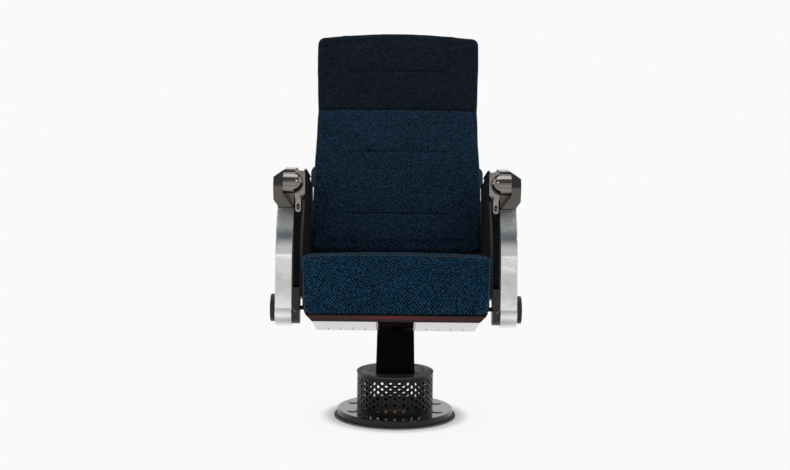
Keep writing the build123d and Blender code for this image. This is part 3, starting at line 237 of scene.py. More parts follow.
# ---- materials ---------------------------------------------------------------
class Surface(Tree):
    """A Principled material whose textures are placed by the object's own coordinates."""

    def __init__(self, name, metallic=0.0, ior=1.5, **sockets):
        self.material = bpy.data.materials.new(name)
        self.material.use_nodes = True
        super().__init__(self.material.node_tree)
        self.bsdf = self.add("ShaderNodeBsdfPrincipled", {"Metallic": metallic, "IOR": ior, **sockets})
        out = self.add("ShaderNodeOutputMaterial")
        self.links.new(self.bsdf.outputs[0], out.inputs["Surface"])
        self.place = self.add("ShaderNodeTexCoord").outputs["Object"]

    def stretched(self, scale):
        """Coordinates stretched by a factor along each axis."""
        return self.add("ShaderNodeMapping", {"Vector": self.place, "Scale": scale}).outputs[0]

    def along(self, direction, place=None):
        """How far a place lies in a direction."""
        return self.add("ShaderNodeVectorMath", {0: place or self.place, 1: direction},
                        operation="DOT_PRODUCT").outputs["Value"]

    def noise(self, scale, detail=3.0, rough=0.55, place=None, distortion=0.0, output="Fac"):
        return self.add("ShaderNodeTexNoise", {
            "Vector": place or self.place, "Scale": scale, "Detail": detail, "Roughness": rough,
            "Distortion": distortion}).outputs[output]

    def cells(self, scale, place=None):
        return self.add("ShaderNodeTexVoronoi", {"Vector": place or self.place, "Scale": scale})

    def weighted(self, a, b, share):
        """The sum of two values, a with its share and b with the rest."""
        return self.math("ADD", self.math("MULTIPLY", a, share), self.math("MULTIPLY", b, 1.0 - share))

    def bevel(self, radius):
        """A normal that rounds the edges."""
        return self.add("ShaderNodeBevel", {"Radius": radius}, samples=4).outputs[0]

    def edges(self, bevel, start):
        """0 on flat faces, 1 on the edges that the bevel turns."""
        flat = self.add("ShaderNodeNewGeometry").outputs["Normal"]
        return self.remap(self.along(flat, bevel), start, 0.80, 0.0, 1.0)

    def bump(self, height, distance, strength=1.0, under=None):
        inputs = {"Height": height, "Distance": distance, "Strength": strength}
        if under is not None:
            inputs["Normal"] = under
        return self.add("ShaderNodeBump", inputs).outputs[0]

    def set(self, **sockets):
        for key, value in sockets.items():
            self.links.new(value, self.bsdf.inputs[key.replace("_", " ")])
        return self.material


def lacquered_metal(name, colour, rough, metallic=0.0, spread=0.10, coat=0.0, grain=0.00004, edge=1.6,
                    edge_r=0.0012, level=0.5):
    """Enamel or bare metal: a cloudy colour, lighter worn edges, a fine orange-peel bump."""
    s = Surface(name, metallic, **{"Coat Weight": coat, "Coat Roughness": 0.08, "Specular IOR Level": level})
    fine = s.noise(420, 2)
    base = s.ramp(s.weighted(s.noise(14, 4), fine, 0.7),
                  [(0.30, shaded(colour, 1 - spread)), (0.70, shaded(colour, 1 + spread))])
    rounded = s.bevel(edge_r)
    wear = s.remap(s.noise(90, 4), 0.42, 0.62, 0.15, 1.0)
    worn = s.math("MULTIPLY", s.edges(rounded, 0.96), wear, clamp=True)
    base = s.mix(worn, base, shaded(colour, edge, 0.004))
    scuffs = s.noise(60, 5, 0.6, s.stretched((1.0, 0.35, 0.8)))
    shine = s.remap(scuffs, 0.3, 0.75, rough * 0.75, min(1.0, rough * 1.3))
    return s.set(Base_Color=base, Roughness=shine, Normal=s.bump(fine, grain, under=rounded))


HEAD_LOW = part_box("arm_head_left")[0][2]  # the legs meet the arms' heads here
# painted shade on the legs' tops under the arms' heads: it fades in between these heights and is full above
# them
HEAD_SHADE_LOW, HEAD_SHADE_HIGH = HEAD_LOW - 0.0065, HEAD_LOW - 0.0045


def polished_aluminium(name, colour, rough):
    """A casting polished below its bend and left ground above it, with mottled bluish-grey patches of painted
    reflection above the bend and a band of painted shade at its top, under the arm's head.
    """
    s = Surface(name, 1.0)
    height = s.add("ShaderNodeSeparateXYZ", {"Vector": s.place}).outputs["Z"]

    def upwards(start, full, low, high):
        return s.remap(height, start, full, low, high, smooth=True)

    lines = s.noise(1.0, 4, 0.6, s.stretched((900, 900, 70)))
    base = s.ramp(s.weighted(s.noise(16, 3, 0.5), lines, 0.75),
                  [(0.30, shaded(colour, 0.90)), (0.68, shaded(colour, 1.07))])
    shine = s.remap(s.noise(38, 4, 0.6), 0.3, 0.7, rough * 0.7, rough * 1.35)
    shine = s.math("ADD", shine, upwards(0.482, 0.512, 0.0, 0.34))
    # painted reflection: mottled bluish-grey patches darken the part above the bend
    dull_reflection_patches = s.math("MULTIPLY", s.remap(s.noise(210, 3, 0.7), 0.40, 0.62, 0.45, 0.0),
                    upwards(0.478, 0.500, 0.0, 1.0))
    base = s.mix(dull_reflection_patches, base, (0.42, 0.46, 0.48))
    # painted shade: the leg's top, under the arm's head, turned nearly black
    head_shade = s.remap(height, HEAD_SHADE_LOW, HEAD_SHADE_HIGH, 0.0, 0.93)
    base = s.mix(head_shade, base, grey(0.012))
    cast = s.math("MULTIPLY", s.noise(170, 4, 0.65), upwards(0.486, 0.512, 0.0, 1.0))
    pits = s.remap(s.cells(170).outputs["Distance"], 0.02, 0.10, 0.0, 1.0)
    normal = s.bevel(0.0016)
    for relief, distance, strength in ((cast, 0.0007, 0.9), (lines, 0.00002, 0.6),
                                       (s.noise(26, 2, 0.4), 0.0009, 0.35), (pits, 0.00005, 0.5)):
        normal = s.bump(relief, distance, strength, normal)
    return s.set(Base_Color=base, Roughness=shine, Normal=normal, Metallic=upwards(0.478, 0.500, 1.0, 0.86))


def machined_steel(name, colour, rough):
    """Plated or ground steel with fine turning marks and grey blotches."""
    s = Surface(name, 1.0)
    marks = s.noise(1.0, 3, 0.6, s.stretched((2600, 300, 300)))
    base = s.ramp(s.noise(220, 4), [(0.3, shaded(colour, 0.72)), (0.7, colour)])
    shine = s.remap(marks, 0.3, 0.7, rough * 0.7, rough * 1.5)
    return s.set(Base_Color=base, Roughness=shine, Normal=s.bump(marks, 0.00003))


def moulded(name, colour, rough, grain=0.00006, scale=900, level=0.5):
    """Moulded plastic or rubber with a spark-eroded grain and faint rub marks."""
    s = Surface(name, 0.0, 1.48, **{"Specular IOR Level": level})
    leather = s.cells(scale).outputs["Distance"]
    spread = 0.14
    base = s.ramp(s.noise(24, 4), [(0.32, shaded(colour, 1 - spread)), (0.68, shaded(colour, 1 + spread))])
    dust = s.remap(s.noise(330, 3), 0.60, 0.74, 0.0, 0.35)
    base = s.mix(dust, base, shaded(colour, 1.8, 0.002))
    shine = s.remap(s.noise(55, 4), 0.3, 0.7, rough * 0.85, min(1.0, rough * 1.15))
    return s.set(Base_Color=base, Roughness=shine, Normal=s.bump(leather, grain, 1.0, s.bevel(0.0008)))


def with_lip(s, base, under, over, glint_colour, edge):
    """The board's upper edge: a painted red glint streaked by the grain, strongest at the middle, between two
    painted dark lines of shade.
    """
    axes = s.add("ShaderNodeSeparateXYZ", {"Vector": s.place})
    rise = s.remap(axes.outputs["Z"], under, over, 0.0, 1.0)
    band = s.ramp(rise, [(0.0, grey(0.0)), (0.40, grey(0.0)), (0.56, grey(1.0)), (0.80, grey(0.6)),
                         (0.92, grey(0.0))])
    # the painted glint is strongest at the middle of the lip
    centre = s.remap(s.math("ABSOLUTE", axes.outputs["X"]), 0.03, 0.15, 1.0, 0.12, smooth=True)
    grain = s.noise(1.0, 3, 0.6, s.stretched((9, 50, 260)))
    glint_streak = s.math("MULTIPLY", centre, s.remap(grain, 0.35, 0.6, 0.35, 1.0))
    base = s.mix(s.math("MULTIPLY", band, glint_streak), base, glint_colour)
    # painted shade: a dark line along the lip's top, under the cushion, and another along its bottom
    lines = s.ramp(rise, [(0.0, grey(1.0)), (0.10, grey(0.9)), (0.20, grey(0.0)), (0.86, grey(0.0)),
                          (0.95, grey(0.9))])
    return s.mix(lines, base, edge)


def lacquered_wood(name, dark, mid, light, rough, coat, level, lip=None):
    """Stained wood under a clear gloss lacquer, its grain running across the seat."""
    s = Surface(name, 0.0, 1.5, **{"Coat Weight": coat, "Coat Roughness": 0.04, "Coat IOR": 1.55,
                                   "Specular IOR Level": level})
    grain = s.noise(1.0, 6, 0.62, s.stretched((5, 90, 90)), 0.6)
    pores = s.noise(1.0, 3, 0.7, s.stretched((40, 900, 900)))
    base = s.ramp(s.weighted(grain, pores, 0.78), [(0.30, dark), (0.50, mid), (0.68, light)])
    # a lip gets a painted glint and painted dark lines of shade
    if lip:
        base = with_lip(s, base, **lip)
    rounded = s.bevel(0.0022)
    wear = s.remap(s.noise(70, 4), 0.40, 0.62, 0.1, 1.0)
    rubbed = s.math("MULTIPLY", s.edges(rounded, 0.97), wear, clamp=True)
    base = s.mix(rubbed, base, shaded(light, 2.6))
    shine = s.remap(s.noise(30, 4), 0.3, 0.7, rough * 0.7, rough * 1.3)
    normal = s.bump(pores, 0.00003, 0.4, rounded)
    s.links.new(normal, s.bsdf.inputs["Coat Normal"])
    return s.set(Base_Color=base, Roughness=shine, Normal=normal)


def boucle(name, dark, mid, light, pitch, depth, sheen=0.06, crisp=0.55, tint=None):
    """Loop-yarn upholstery: bright loops in slanting rows on a dark ground, each a little off its place."""
    s = Surface(name, 0.0, 1.4, **{"Sheen Weight": sheen, "Sheen Roughness": 0.35,
                                   "Specular IOR Level": 0.12})
    shift = s.noise(0.60 / pitch, 3.0, 0.6, output="Color")
    bent = s.add("ShaderNodeVectorMath", {0: shift, 1: (pitch * 2.7,) * 3, 2: s.place},
                 operation="MULTIPLY_ADD").outputs[0]
    rows = [s.math("SINE", s.math("MULTIPLY", s.along(axis, bent), math.pi / pitch))
            for axis in ((1, 0, 0), (0, 1, 1))]
    weave = s.math("MULTIPLY", *rows)
    loops = s.remap(weave, -0.5, 0.6, 0.0, 1.0, smooth=True)
    yarn = s.cells(1.25 / pitch, bent)
    pick = s.add("ShaderNodeSeparateColor", {"Color": yarn.outputs["Color"]}).outputs["Red"]
    base = s.ramp(s.weighted(loops, pick, crisp), [(0.25, dark), (0.50, mid), (0.76, light)])
    fibre = s.noise(1500, 2, 0.7)
    base = s.mix(s.remap(fibre, 0.50, 0.78, 0.0, 0.35), base, shaded(light, 1.2))
    base = s.mix(s.remap(fibre, 0.45, 0.25, 0.0, 0.45), base, shaded(dark, 0.5))
    nap = s.remap(s.noise(9, 3), 0.25, 0.75, 0.90, 1.10)
    nap_colour = s.add("ShaderNodeCombineColor", {"Red": nap, "Green": nap, "Blue": nap}).outputs[0]
    base = s.mix(1.0, base, nap_colour, "MULTIPLY")
    if tint:
        direction, edge, factor = tint
        above = s.remap(s.along(direction), edge - 0.001, edge + 0.001, 0.0, 1.0)
        base = s.mix(above, base, s.mix(1.0, base, factor, "MULTIPLY"))
    normal = s.bump(s.remap(yarn.outputs["Distance"], 0.0, 0.75, 1.0, 0.0), depth * 0.7, 0.8)
    normal = s.bump(weave, depth * 0.5, 0.7, normal)
    normal = s.bump(fibre, depth * 0.25, 0.7, normal)
    return s.set(Base_Color=base, Roughness=s.remap(fibre, 0.3, 0.7, 0.85, 1.0), Normal=normal)


RECLINE = math.radians(12)
BACK_ORIGIN = Vector((0, 0.190, 0.430))
BACK_UP = Vector((0, math.sin(RECLINE), math.cos(RECLINE)))
BACK_IN = Vector((0, math.cos(RECLINE), -math.sin(RECLINE)))
HEADREST_SEAM = 0.371  # height up the back
HEADREST_TINT = (BACK_UP, BACK_ORIGIN.dot(BACK_UP) + HEADREST_SEAM, (0.74, 0.49, 0.43))
# the lip's painted glint colour and the colour of its painted lines of shade
BOARD_LIP = dict(under=0.281, over=0.297, glint_colour=(0.20, 0.010, 0.008), edge=(0.008, 0.003, 0.003))

LOOKS = {
    "gasket_rubber": (moulded, dict(
        colour=(0.20, 0.185, 0.17), rough=0.75, grain=0.00010, scale=500, level=0.25)),
    "base_enamel": (lacquered_metal, dict(
        colour=(0.0045, 0.0042, 0.0040), rough=0.30, spread=0.2, coat=1.0, grain=0.00002, edge=2.5,
        level=0.05)),
    "anchor_steel": (machined_steel, dict(colour=(0.55, 0.55, 0.56), rough=0.3)),
    "anchor_cap_plastic": (lacquered_metal, dict(
        colour=(0.006, 0.0056, 0.0054), rough=0.30, spread=0.2, coat=0.9, grain=0.00002, edge=1.5,
        edge_r=0.0004, level=0.05)),
    "screen_enamel": (lacquered_metal, dict(
        colour=(0.0055, 0.0052, 0.0050), rough=0.34, spread=0.2, grain=0.00003, edge=2.2, edge_r=0.0005,
        level=0.28)),
    "cap_enamel": (lacquered_metal, dict(
        colour=(0.060, 0.050, 0.041), rough=0.50, spread=0.0, grain=0.00003, edge=1.8, level=0.35)),
    "column_enamel": (lacquered_metal, dict(
        colour=(0.0022, 0.0022, 0.0024), rough=0.50, spread=0.3, grain=0.00006, edge=1.5, level=0.03)),
    "frame_enamel": (lacquered_metal, dict(
        colour=(0.013, 0.0125, 0.0125), rough=0.38, spread=0.15, grain=0.00006, edge=2.0)),
    "fastener_steel": (machined_steel, dict(colour=(0.16, 0.155, 0.15), rough=0.3)),
    "leg_aluminium": (polished_aluminium, dict(colour=(0.87, 0.865, 0.86), rough=0.095)),
    "leg_cap_plastic": (moulded, dict(
        colour=(0.030, 0.0285, 0.0285), rough=0.42, grain=0.00003, scale=1200, level=0.3)),
    "arm_metal": (lacquered_metal, dict(
        colour=(0.118, 0.106, 0.096), rough=0.22, metallic=0.9, spread=0.14, coat=0.25, grain=0.00002,
        edge=1.35)),
    "knuckle_metal": (lacquered_metal, dict(
        colour=(0.27, 0.245, 0.225), rough=0.09, metallic=1.0, grain=0.00001, edge=1.15)),
    "panel_board": (moulded, dict(
        colour=(0.0065, 0.007, 0.009), rough=0.6, grain=0.00005, scale=700, level=0.1)),
    "trim_plastic": (moulded, dict(colour=(0.034, 0.034, 0.040), rough=0.45, grain=0.00003, level=0.3)),
    "shell_plastic": (moulded, dict(
        colour=(0.048, 0.046, 0.044), rough=0.5, grain=0.00010, scale=620, level=0.3)),
    "board_lacquer": (lacquered_wood, dict(
        dark=(0.010, 0.0020, 0.0016), mid=(0.026, 0.0045, 0.0038), light=(0.050, 0.009, 0.007), rough=0.30,
        coat=0.4, level=0.08, lip=BOARD_LIP)),
    "pan_lacquer": (lacquered_wood, dict(
        dark=(0.020, 0.008, 0.007), mid=(0.040, 0.016, 0.014), light=(0.065, 0.028, 0.024), rough=0.10,
        coat=0.75, level=0.3)),
    "bracket_enamel": (lacquered_metal, dict(
        colour=(0.013, 0.0125, 0.0125), rough=0.4, spread=0.15, grain=0.00005, edge=2.0)),
    "bush_plastic": (moulded, dict(colour=(0.10, 0.10, 0.10), rough=0.5)),
    "pin_steel": (machined_steel, dict(colour=(0.50, 0.50, 0.51), rough=0.22)),
    "sleeve_rubber": (moulded, dict(colour=(0.03, 0.028, 0.026), rough=0.7, grain=0.00005, level=0.2)),
    "pad_rubber": (moulded, dict(colour=(0.115, 0.062, 0.036), rough=0.6, grain=0.00005, level=0.3)),
    "tablet_laminate": (moulded, dict(
        colour=(0.0036, 0.0042, 0.0050), rough=0.5, grain=0.00003, scale=1500, level=0.08)),
    "seat_cloth": (boucle, dict(
        dark=(0.0008, 0.0016, 0.0032), mid=(0.0032, 0.0120, 0.0250), light=(0.0118, 0.0670, 0.1360),
        pitch=0.0045, depth=0.0011, crisp=0.66)),
    "back_cloth": (boucle, dict(
        dark=(0.0016, 0.0034, 0.0064), mid=(0.0066, 0.0172, 0.0335), light=(0.0215, 0.0550, 0.1030),
        pitch=0.0047, depth=0.0008, crisp=0.62, tint=HEADREST_TINT)),
    "side_cloth": (boucle, dict(
        dark=(0.0030, 0.0035, 0.0046), mid=(0.0055, 0.0066, 0.0088), light=(0.0095, 0.0115, 0.0150),
        pitch=0.0030, depth=0.0005, sheen=0.02)),
}
MATERIALS = {slot: make(slot, **look) for slot, (make, look) in LOOKS.items()}
WELT_CLOTH = boucle("welt_cloth", dark=(0.010, 0.016, 0.022), mid=(0.034, 0.044, 0.054),
                    light=(0.085, 0.095, 0.105), pitch=0.0020, depth=0.0006)
THREAD = boucle("sewing_thread", dark=(0.0008, 0.0016, 0.0030), mid=(0.0020, 0.0036, 0.0060),
                light=(0.005, 0.008, 0.012), pitch=0.0010, depth=0.0002)

for row in frame["record"]["subparts"]:
    mesh = nodes[row["node"]].data
    mesh.materials.clear()
    mesh.materials.append(MATERIALS[row["material_slot"]])


# ---- mesh helpers ------------------------------------------------------------
def edit_mesh(mesh, edit):
    build = bmesh.new()
    build.from_mesh(mesh)
    edit(build)
    build.to_mesh(mesh)
    build.free()


def mesh_piece(name, points, faces, material, body, slot, smooth=True):
    """A new piece of the object from points and faces."""
    mesh = bpy.data.meshes.new(name)
    mesh.from_pydata([tuple(p) for p in points], [], faces)
    mesh.validate()
    edit_mesh(mesh, lambda build: bmesh.ops.recalc_face_normals(build, faces=build.faces))
    mesh.polygons.foreach_set("use_smooth", [smooth] * len(mesh.polygons))
    mesh.materials.append(material)
    piece = bpy.data.objects.new(name, mesh)
    scene.collection.objects.link(piece)
    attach(piece, body)
    return piece


def coordinates(mesh):
    points = np.empty(len(mesh.vertices) * 3)
    mesh.vertices.foreach_get("co", points)
    return points.reshape(-1, 3)


def normals(mesh):
    found = np.empty(len(mesh.vertices) * 3)
    mesh.vertex_normals.foreach_get("vector", found)
    return found.reshape(-1, 3)


def move_to(mesh, points):
    mesh.vertices.foreach_set("co", points.ravel())
    mesh.update()


def apply_modifiers(piece):
    """Gives a piece its evaluated mesh, with no modifier left on it."""
    bpy.context.view_layer.update()
    found = piece.evaluated_get(bpy.context.evaluated_depsgraph_get())
    mesh = bpy.data.meshes.new_from_object(found)
    piece.modifiers.clear()
    piece.data = mesh


COVER_GRID = 0.006  # spacing of the covers' points before they are made finer
SHRINK = 0.0015  # a cover starts this far inside the cushion's solid
SINK = 0.0006  # and may end this far inside it
STEPS = 20
CLOTH = dict(quality=5, mass=0.3, use_pressure=True, uniform_pressure_force=4.0, vertex_group_mass="held",
             tension_stiffness=12, compression_stiffness=12, bending_stiffness=1.5)


def surface_of(mesh):
    faces = [tuple(p.vertices) for p in mesh.polygons]
    return BVHTree.FromPolygons([v.co.copy() for v in mesh.vertices], faces)


def remeshed(node, name):
    """A closed even mesh round a CAD node's own, ready for cloth."""
    mesh = nodes[node].data.copy()
    mesh.materials.clear()
    edit_mesh(mesh, lambda build: bmesh.ops.remove_doubles(build, verts=build.verts, dist=0.00002))
    piece = bpy.data.objects.new(name, mesh)
    scene.collection.objects.link(piece)
    grid = piece.modifiers.new("grid", "REMESH")
    grid.mode = "VOXEL"
    grid.voxel_size = COVER_GRID
    even = piece.modifiers.new("even", "SMOOTH")
    even.factor = 0.5
    even.iterations = 6
    apply_modifiers(piece)
    return piece


def inflate(piece, cap, held, limit):
    """Cloth under pressure, gravity off, with each point's travel capped, the held points fixed."""
    mesh = piece.data
    start = coordinates(mesh)
    fixed = held(normals(mesh))
    start = start - normals(mesh) * SHRINK * (~fixed)[:, None]
    move_to(mesh, start)
    group = piece.vertex_groups.new(name="held")
    group.add([int(i) for i in np.nonzero(fixed)[0]], 1.0, "REPLACE")
    cloth = piece.modifiers.new("cloth", "CLOTH")
    for key, value in CLOTH.items():
        setattr(cloth.settings, key, value)
    cloth.settings.effector_weights.gravity = 0
    cloth.point_cache.frame_start = 1
    cloth.point_cache.frame_end = STEPS
    for step in range(1, STEPS + 1):
        scene.frame_set(step)
    apply_modifiers(piece)
    scene.frame_set(1)
    mesh = piece.data
    travel = coordinates(mesh) - start
    length = np.linalg.norm(travel, axis=1)
    travel *= np.minimum(1.0, cap / np.maximum(length, 1e-9))[:, None]
    move_to(mesh, limit(start + travel))
    piece.vertex_groups.clear()


def widened(points, start, full, by):
    """The points moved out to the sides, the more the nearer they are to the side edges."""
    x = points[:, 0]
    share = np.clip((np.abs(x) - start) / (full - start), 0, 1)
    points[:, 0] = x + np.sign(x) * share * share * (3 - 2 * share) * by
    return points


def fitted(piece, node, high):
    """Keeps each point close to the CAD node's surface, so that the outline stays."""
    tree = surface_of(nodes[node].data)
    mesh = piece.data
    points = coordinates(mesh)
    for i, p in enumerate(points):
        place = Vector(p)
        near, facing, _, far = tree.find_nearest(place)
        side = (place - near).dot(facing)
        height = math.copysign(far, side)
        wanted = min(max(height, -SINK), high)
        if wanted != height:
            out = facing if far < 0.0002 else (place - near) * (1 if side > 0 else -1) / far
            points[i] = near + out * wanted
    move_to(mesh, points)


def subdivide(piece):
    finer = piece.modifiers.new("finer", "SUBSURF")
    finer.levels = finer.render_levels = 1
    apply_modifiers(piece)
    mesh = piece.data
    mesh.polygons.foreach_set("use_smooth", [True] * len(mesh.polygons))


def cut_loops(piece, cuts):
    """Adds edge loops where planes pass, so that a sewn line has edges of its own."""
    def cut(build):
        for origin, normal, wanted in cuts:
            faces = [f for f in build.faces if wanted(f)]
            edges = {e for f in faces for e in f.edges}
            points = {v for f in faces for v in f.verts}
            bmesh.ops.bisect_plane(build, geom=[*faces, *edges, *points], plane_co=origin, plane_no=normal,
                                   dist=0.00005)

    edit_mesh(piece.data, cut)


def cord_mesh(path, radius, sides, twist=0.0):
    """Points and faces of a sewn cord or welt along a path, thinner at its ends."""
    points, faces = [], []
    count = len(path)
    across = None
    for i, place in enumerate(path):
        ahead = (path[min(i + 1, count - 1)] - path[max(i - 1, 0)]).normalized()
        if across is None:
            across = ahead.orthogonal().normalized()
        across = (across - ahead * across.dot(ahead)).normalized()
        other = ahead.cross(across)
        size = radius * min(1.0, 0.25 + min(i, count - 1 - i) * 0.5)
        for k in range(sides):
            turn = 2 * math.pi * k / sides
            bulge = 1.0 + 0.10 * math.sin(3 * turn + twist * i)
            points.append(place + (across * math.cos(turn) + other * math.sin(turn)) * size * bulge)
    for i in range(count - 1):
        for k in range(sides):
            a, b = i * sides + k, i * sides + (k + 1) % sides
            faces.append((a, b, b + sides, a + sides))
    faces.append(tuple(range(sides)))
    faces.append(tuple(range((count - 1) * sides, count * sides)))
    return points, faces


def join_meshes(parts):
    points, faces = [], []
    for some_points, some_faces in parts:
        base = len(points)
        points += some_points
        faces += [tuple(base + i for i in face) for face in some_faces]
    return points, faces


def resample(path, step):
    """Points at an even spacing along a path."""
    out = [path[0].copy()]
    left = step
    for a, b in zip(path, path[1:]):
        run = (b - a).length
        done = 0.0
        while run - done >= left:
            done += left
            out.append(a.lerp(b, done / run))
            left = step
        left -= run - done
    out.append(path[-1].copy())
    return out


# ---- seat cushion ------------------------------------------------------------
SEAT_FRONT_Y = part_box("seat_cushion")[0].y
SEAT_SIDE_X = 0.2345  # half the room between the inner panels
SEAT_SWELL = 0.003  # how far the roll may swell forwards
SEAT_TRAVEL = 0.0055  # how far the pressure may move a point
SEAT_PROUD = 0.0030  # and how far outside the solid it may end
SEAT_SLOPE = math.radians(8.6)
SEAT_EDGE_X, SEAT_EDGE_Z = 0.2285, 0.4435  # front end of the top side edges
SEAT_EDGE_Y = (0.010, 0.150)  # from the front face, and where the edges end
ROLL_MIDDLE_Z = 0.375
PANEL_FOOT_X, PANEL_FOOT_Z = 0.200, 0.3  # the front panel's lower edge, which has no piping
WELT_R = 0.00125
WELT_LIFT = 0.0003
WELT_SPACING = 0.004
WELT_BACK = 0.0035  # behind the front face
CAST_FROM, CAST_DEPTH = 0.05, 0.12  # rays start this far outside a cover and look this deep


def make_seat_cushion():
    piece = remeshed("seat_cushion", "seat_cushion_cover")

    def resting(facing):
        return facing[:, 2] < -0.6

    def limit(points):
        points[:, 0] = np.clip(points[:, 0], -SEAT_SIDE_X, SEAT_SIDE_X)
        points[:, 1] = np.maximum(points[:, 1], SEAT_FRONT_Y - SEAT_SWELL)
        return points

    inflate(piece, SEAT_TRAVEL, resting, limit)
    fitted(piece, "seat_cushion", SEAT_PROUD)
    move_to(piece.data, limit(widened(coordinates(piece.data), start=0.190, full=0.230, by=0.0022)))
    subdivide(piece)
    rng = random.Random(7)
    offset = Vector((rng.random(), rng.random(), rng.random()))
    mesh = piece.data
    points = coordinates(mesh)
    facing = normals(mesh)
    for i, p in enumerate(points):
        wave = noise.noise(Vector(p) * 22 + offset) * 0.0007 + noise.noise(Vector(p) * 60 + offset) * 0.00035
        points[i] = p + facing[i] * wave
    move_to(mesh, points)
    mesh.materials.append(MATERIALS["seat_cloth"])
    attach(piece, "seat")
    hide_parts("seat_cushion")
    return piece


def laid_on(tree, guesses, centre, lift):
    """Each guess moved on to the surface along the line to its own centre."""
    path = []
    for guess in guesses:
        middle = centre(guess)
        out = (guess - middle).normalized()
        hit = tree.ray_cast(guess + out * CAST_FROM, -out, CAST_DEPTH)
        if hit[0] is not None:
            path.append(hit[0] + out * lift)
    return path


def smoothed(path, rounds):
    for _ in range(rounds):
        path = [path[0]] + [(a + b * 2 + c) / 4 for a, b, c in zip(path, path[1:], path[2:])] + [path[-1]]
    return path


def make_seat_welts(cushion):
    """The piping round the front panel and along the top side edges."""
    tree = surface_of(cushion.data)

    def welt(guesses, centre):
        return cord_mesh(smoothed(laid_on(tree, guesses, centre, WELT_LIFT), 3), WELT_R, 8, 1.1)

    def front_centre(p):
        return Vector((p.x * 0.90, p.y + 0.014, ROLL_MIDDLE_Z + (p.z - ROLL_MIDDLE_Z) * 0.80))

    front = [v.co for v in nodes["seat_cushion"].data.vertices if v.co.y < SEAT_FRONT_Y + 0.013]
    flat = [Vector((p.x, p.z)) for p in front]
    rim = [flat[i] for i in geometry.convex_hull_2d(flat)]
    rim = [p for p in rim if p.y > PANEL_FOOT_Z or abs(p.x) > PANEL_FOOT_X]
    rim.sort(key=lambda p: math.atan2(p.x, p.y - 0.36))
    round_front = resample([Vector((p.x, SEAT_FRONT_Y + WELT_BACK, p.y)) for p in rim], WELT_SPACING)
    parts = [welt(round_front, front_centre)]
    for side in (-1, 1):
        run = [Vector((side * SEAT_EDGE_X, y, SEAT_EDGE_Z - (y - SEAT_FRONT_Y) * math.tan(SEAT_SLOPE)))
               for y in np.linspace(SEAT_FRONT_Y + SEAT_EDGE_Y[0], SEAT_EDGE_Y[1], 60)]
        parts.append(welt(run, lambda p: Vector((p.x - side * 0.03, p.y, p.z - 0.03))))
    mesh_piece("seat_cushion_welts", *join_meshes(parts), WELT_CLOTH, "seat", "seat_cloth")


make_seat_welts(make_seat_cushion())


# ---- back cushion ------------------------------------------------------------
TUCKS = (0.078, 0.252, 0.481)  # heights up the back, as the headrest's seam is
TUCK_HALF = 0.140
SEAM_HALF = 0.214
SEAM_DEPTH, TUCK_DEPTH = 0.045, 0.030  # how far behind the back's plane the sewn lines go
SEAM_GROOVE = (0.0030, 0.0019, 0.0018, 0.012)  # a line's depth and width, and its hollow's
TUCK_GROOVE = (0.0024, 0.0018, 0.0016, 0.011)
TUCK_FADE = 0.018
BACK_SIDE_X = 0.2330
BACK_TRAVEL, BACK_PROUD = 0.0065, 0.0040
BACK_TOP_FROM, BACK_TOP_OVER = 0.52, 0.06  # the top is raised from this height on, over this length
BACK_TOP_RAISE = 0.0062
LINE_STEPS = (-0.0055, -0.0022, 0.0, 0.0022, 0.0055)
STITCH, STITCH_PITCH = 0.0042, 0.0062
THREAD_R = 0.00042


def back_places(points):
    """Height along the back and depth behind its plane, for each point."""
    rel = points - np.array(BACK_ORIGIN)
    return rel @ np.array(BACK_UP), rel @ np.array(BACK_IN)


def groove(away, line, line_width, hollow, hollow_width):
    """How deep a sewn line and the soft hollow round it pull the cloth in, by the distance from it."""
    return line * np.exp(-(away / line_width) ** 2) + hollow * np.exp(-(away / hollow_width))


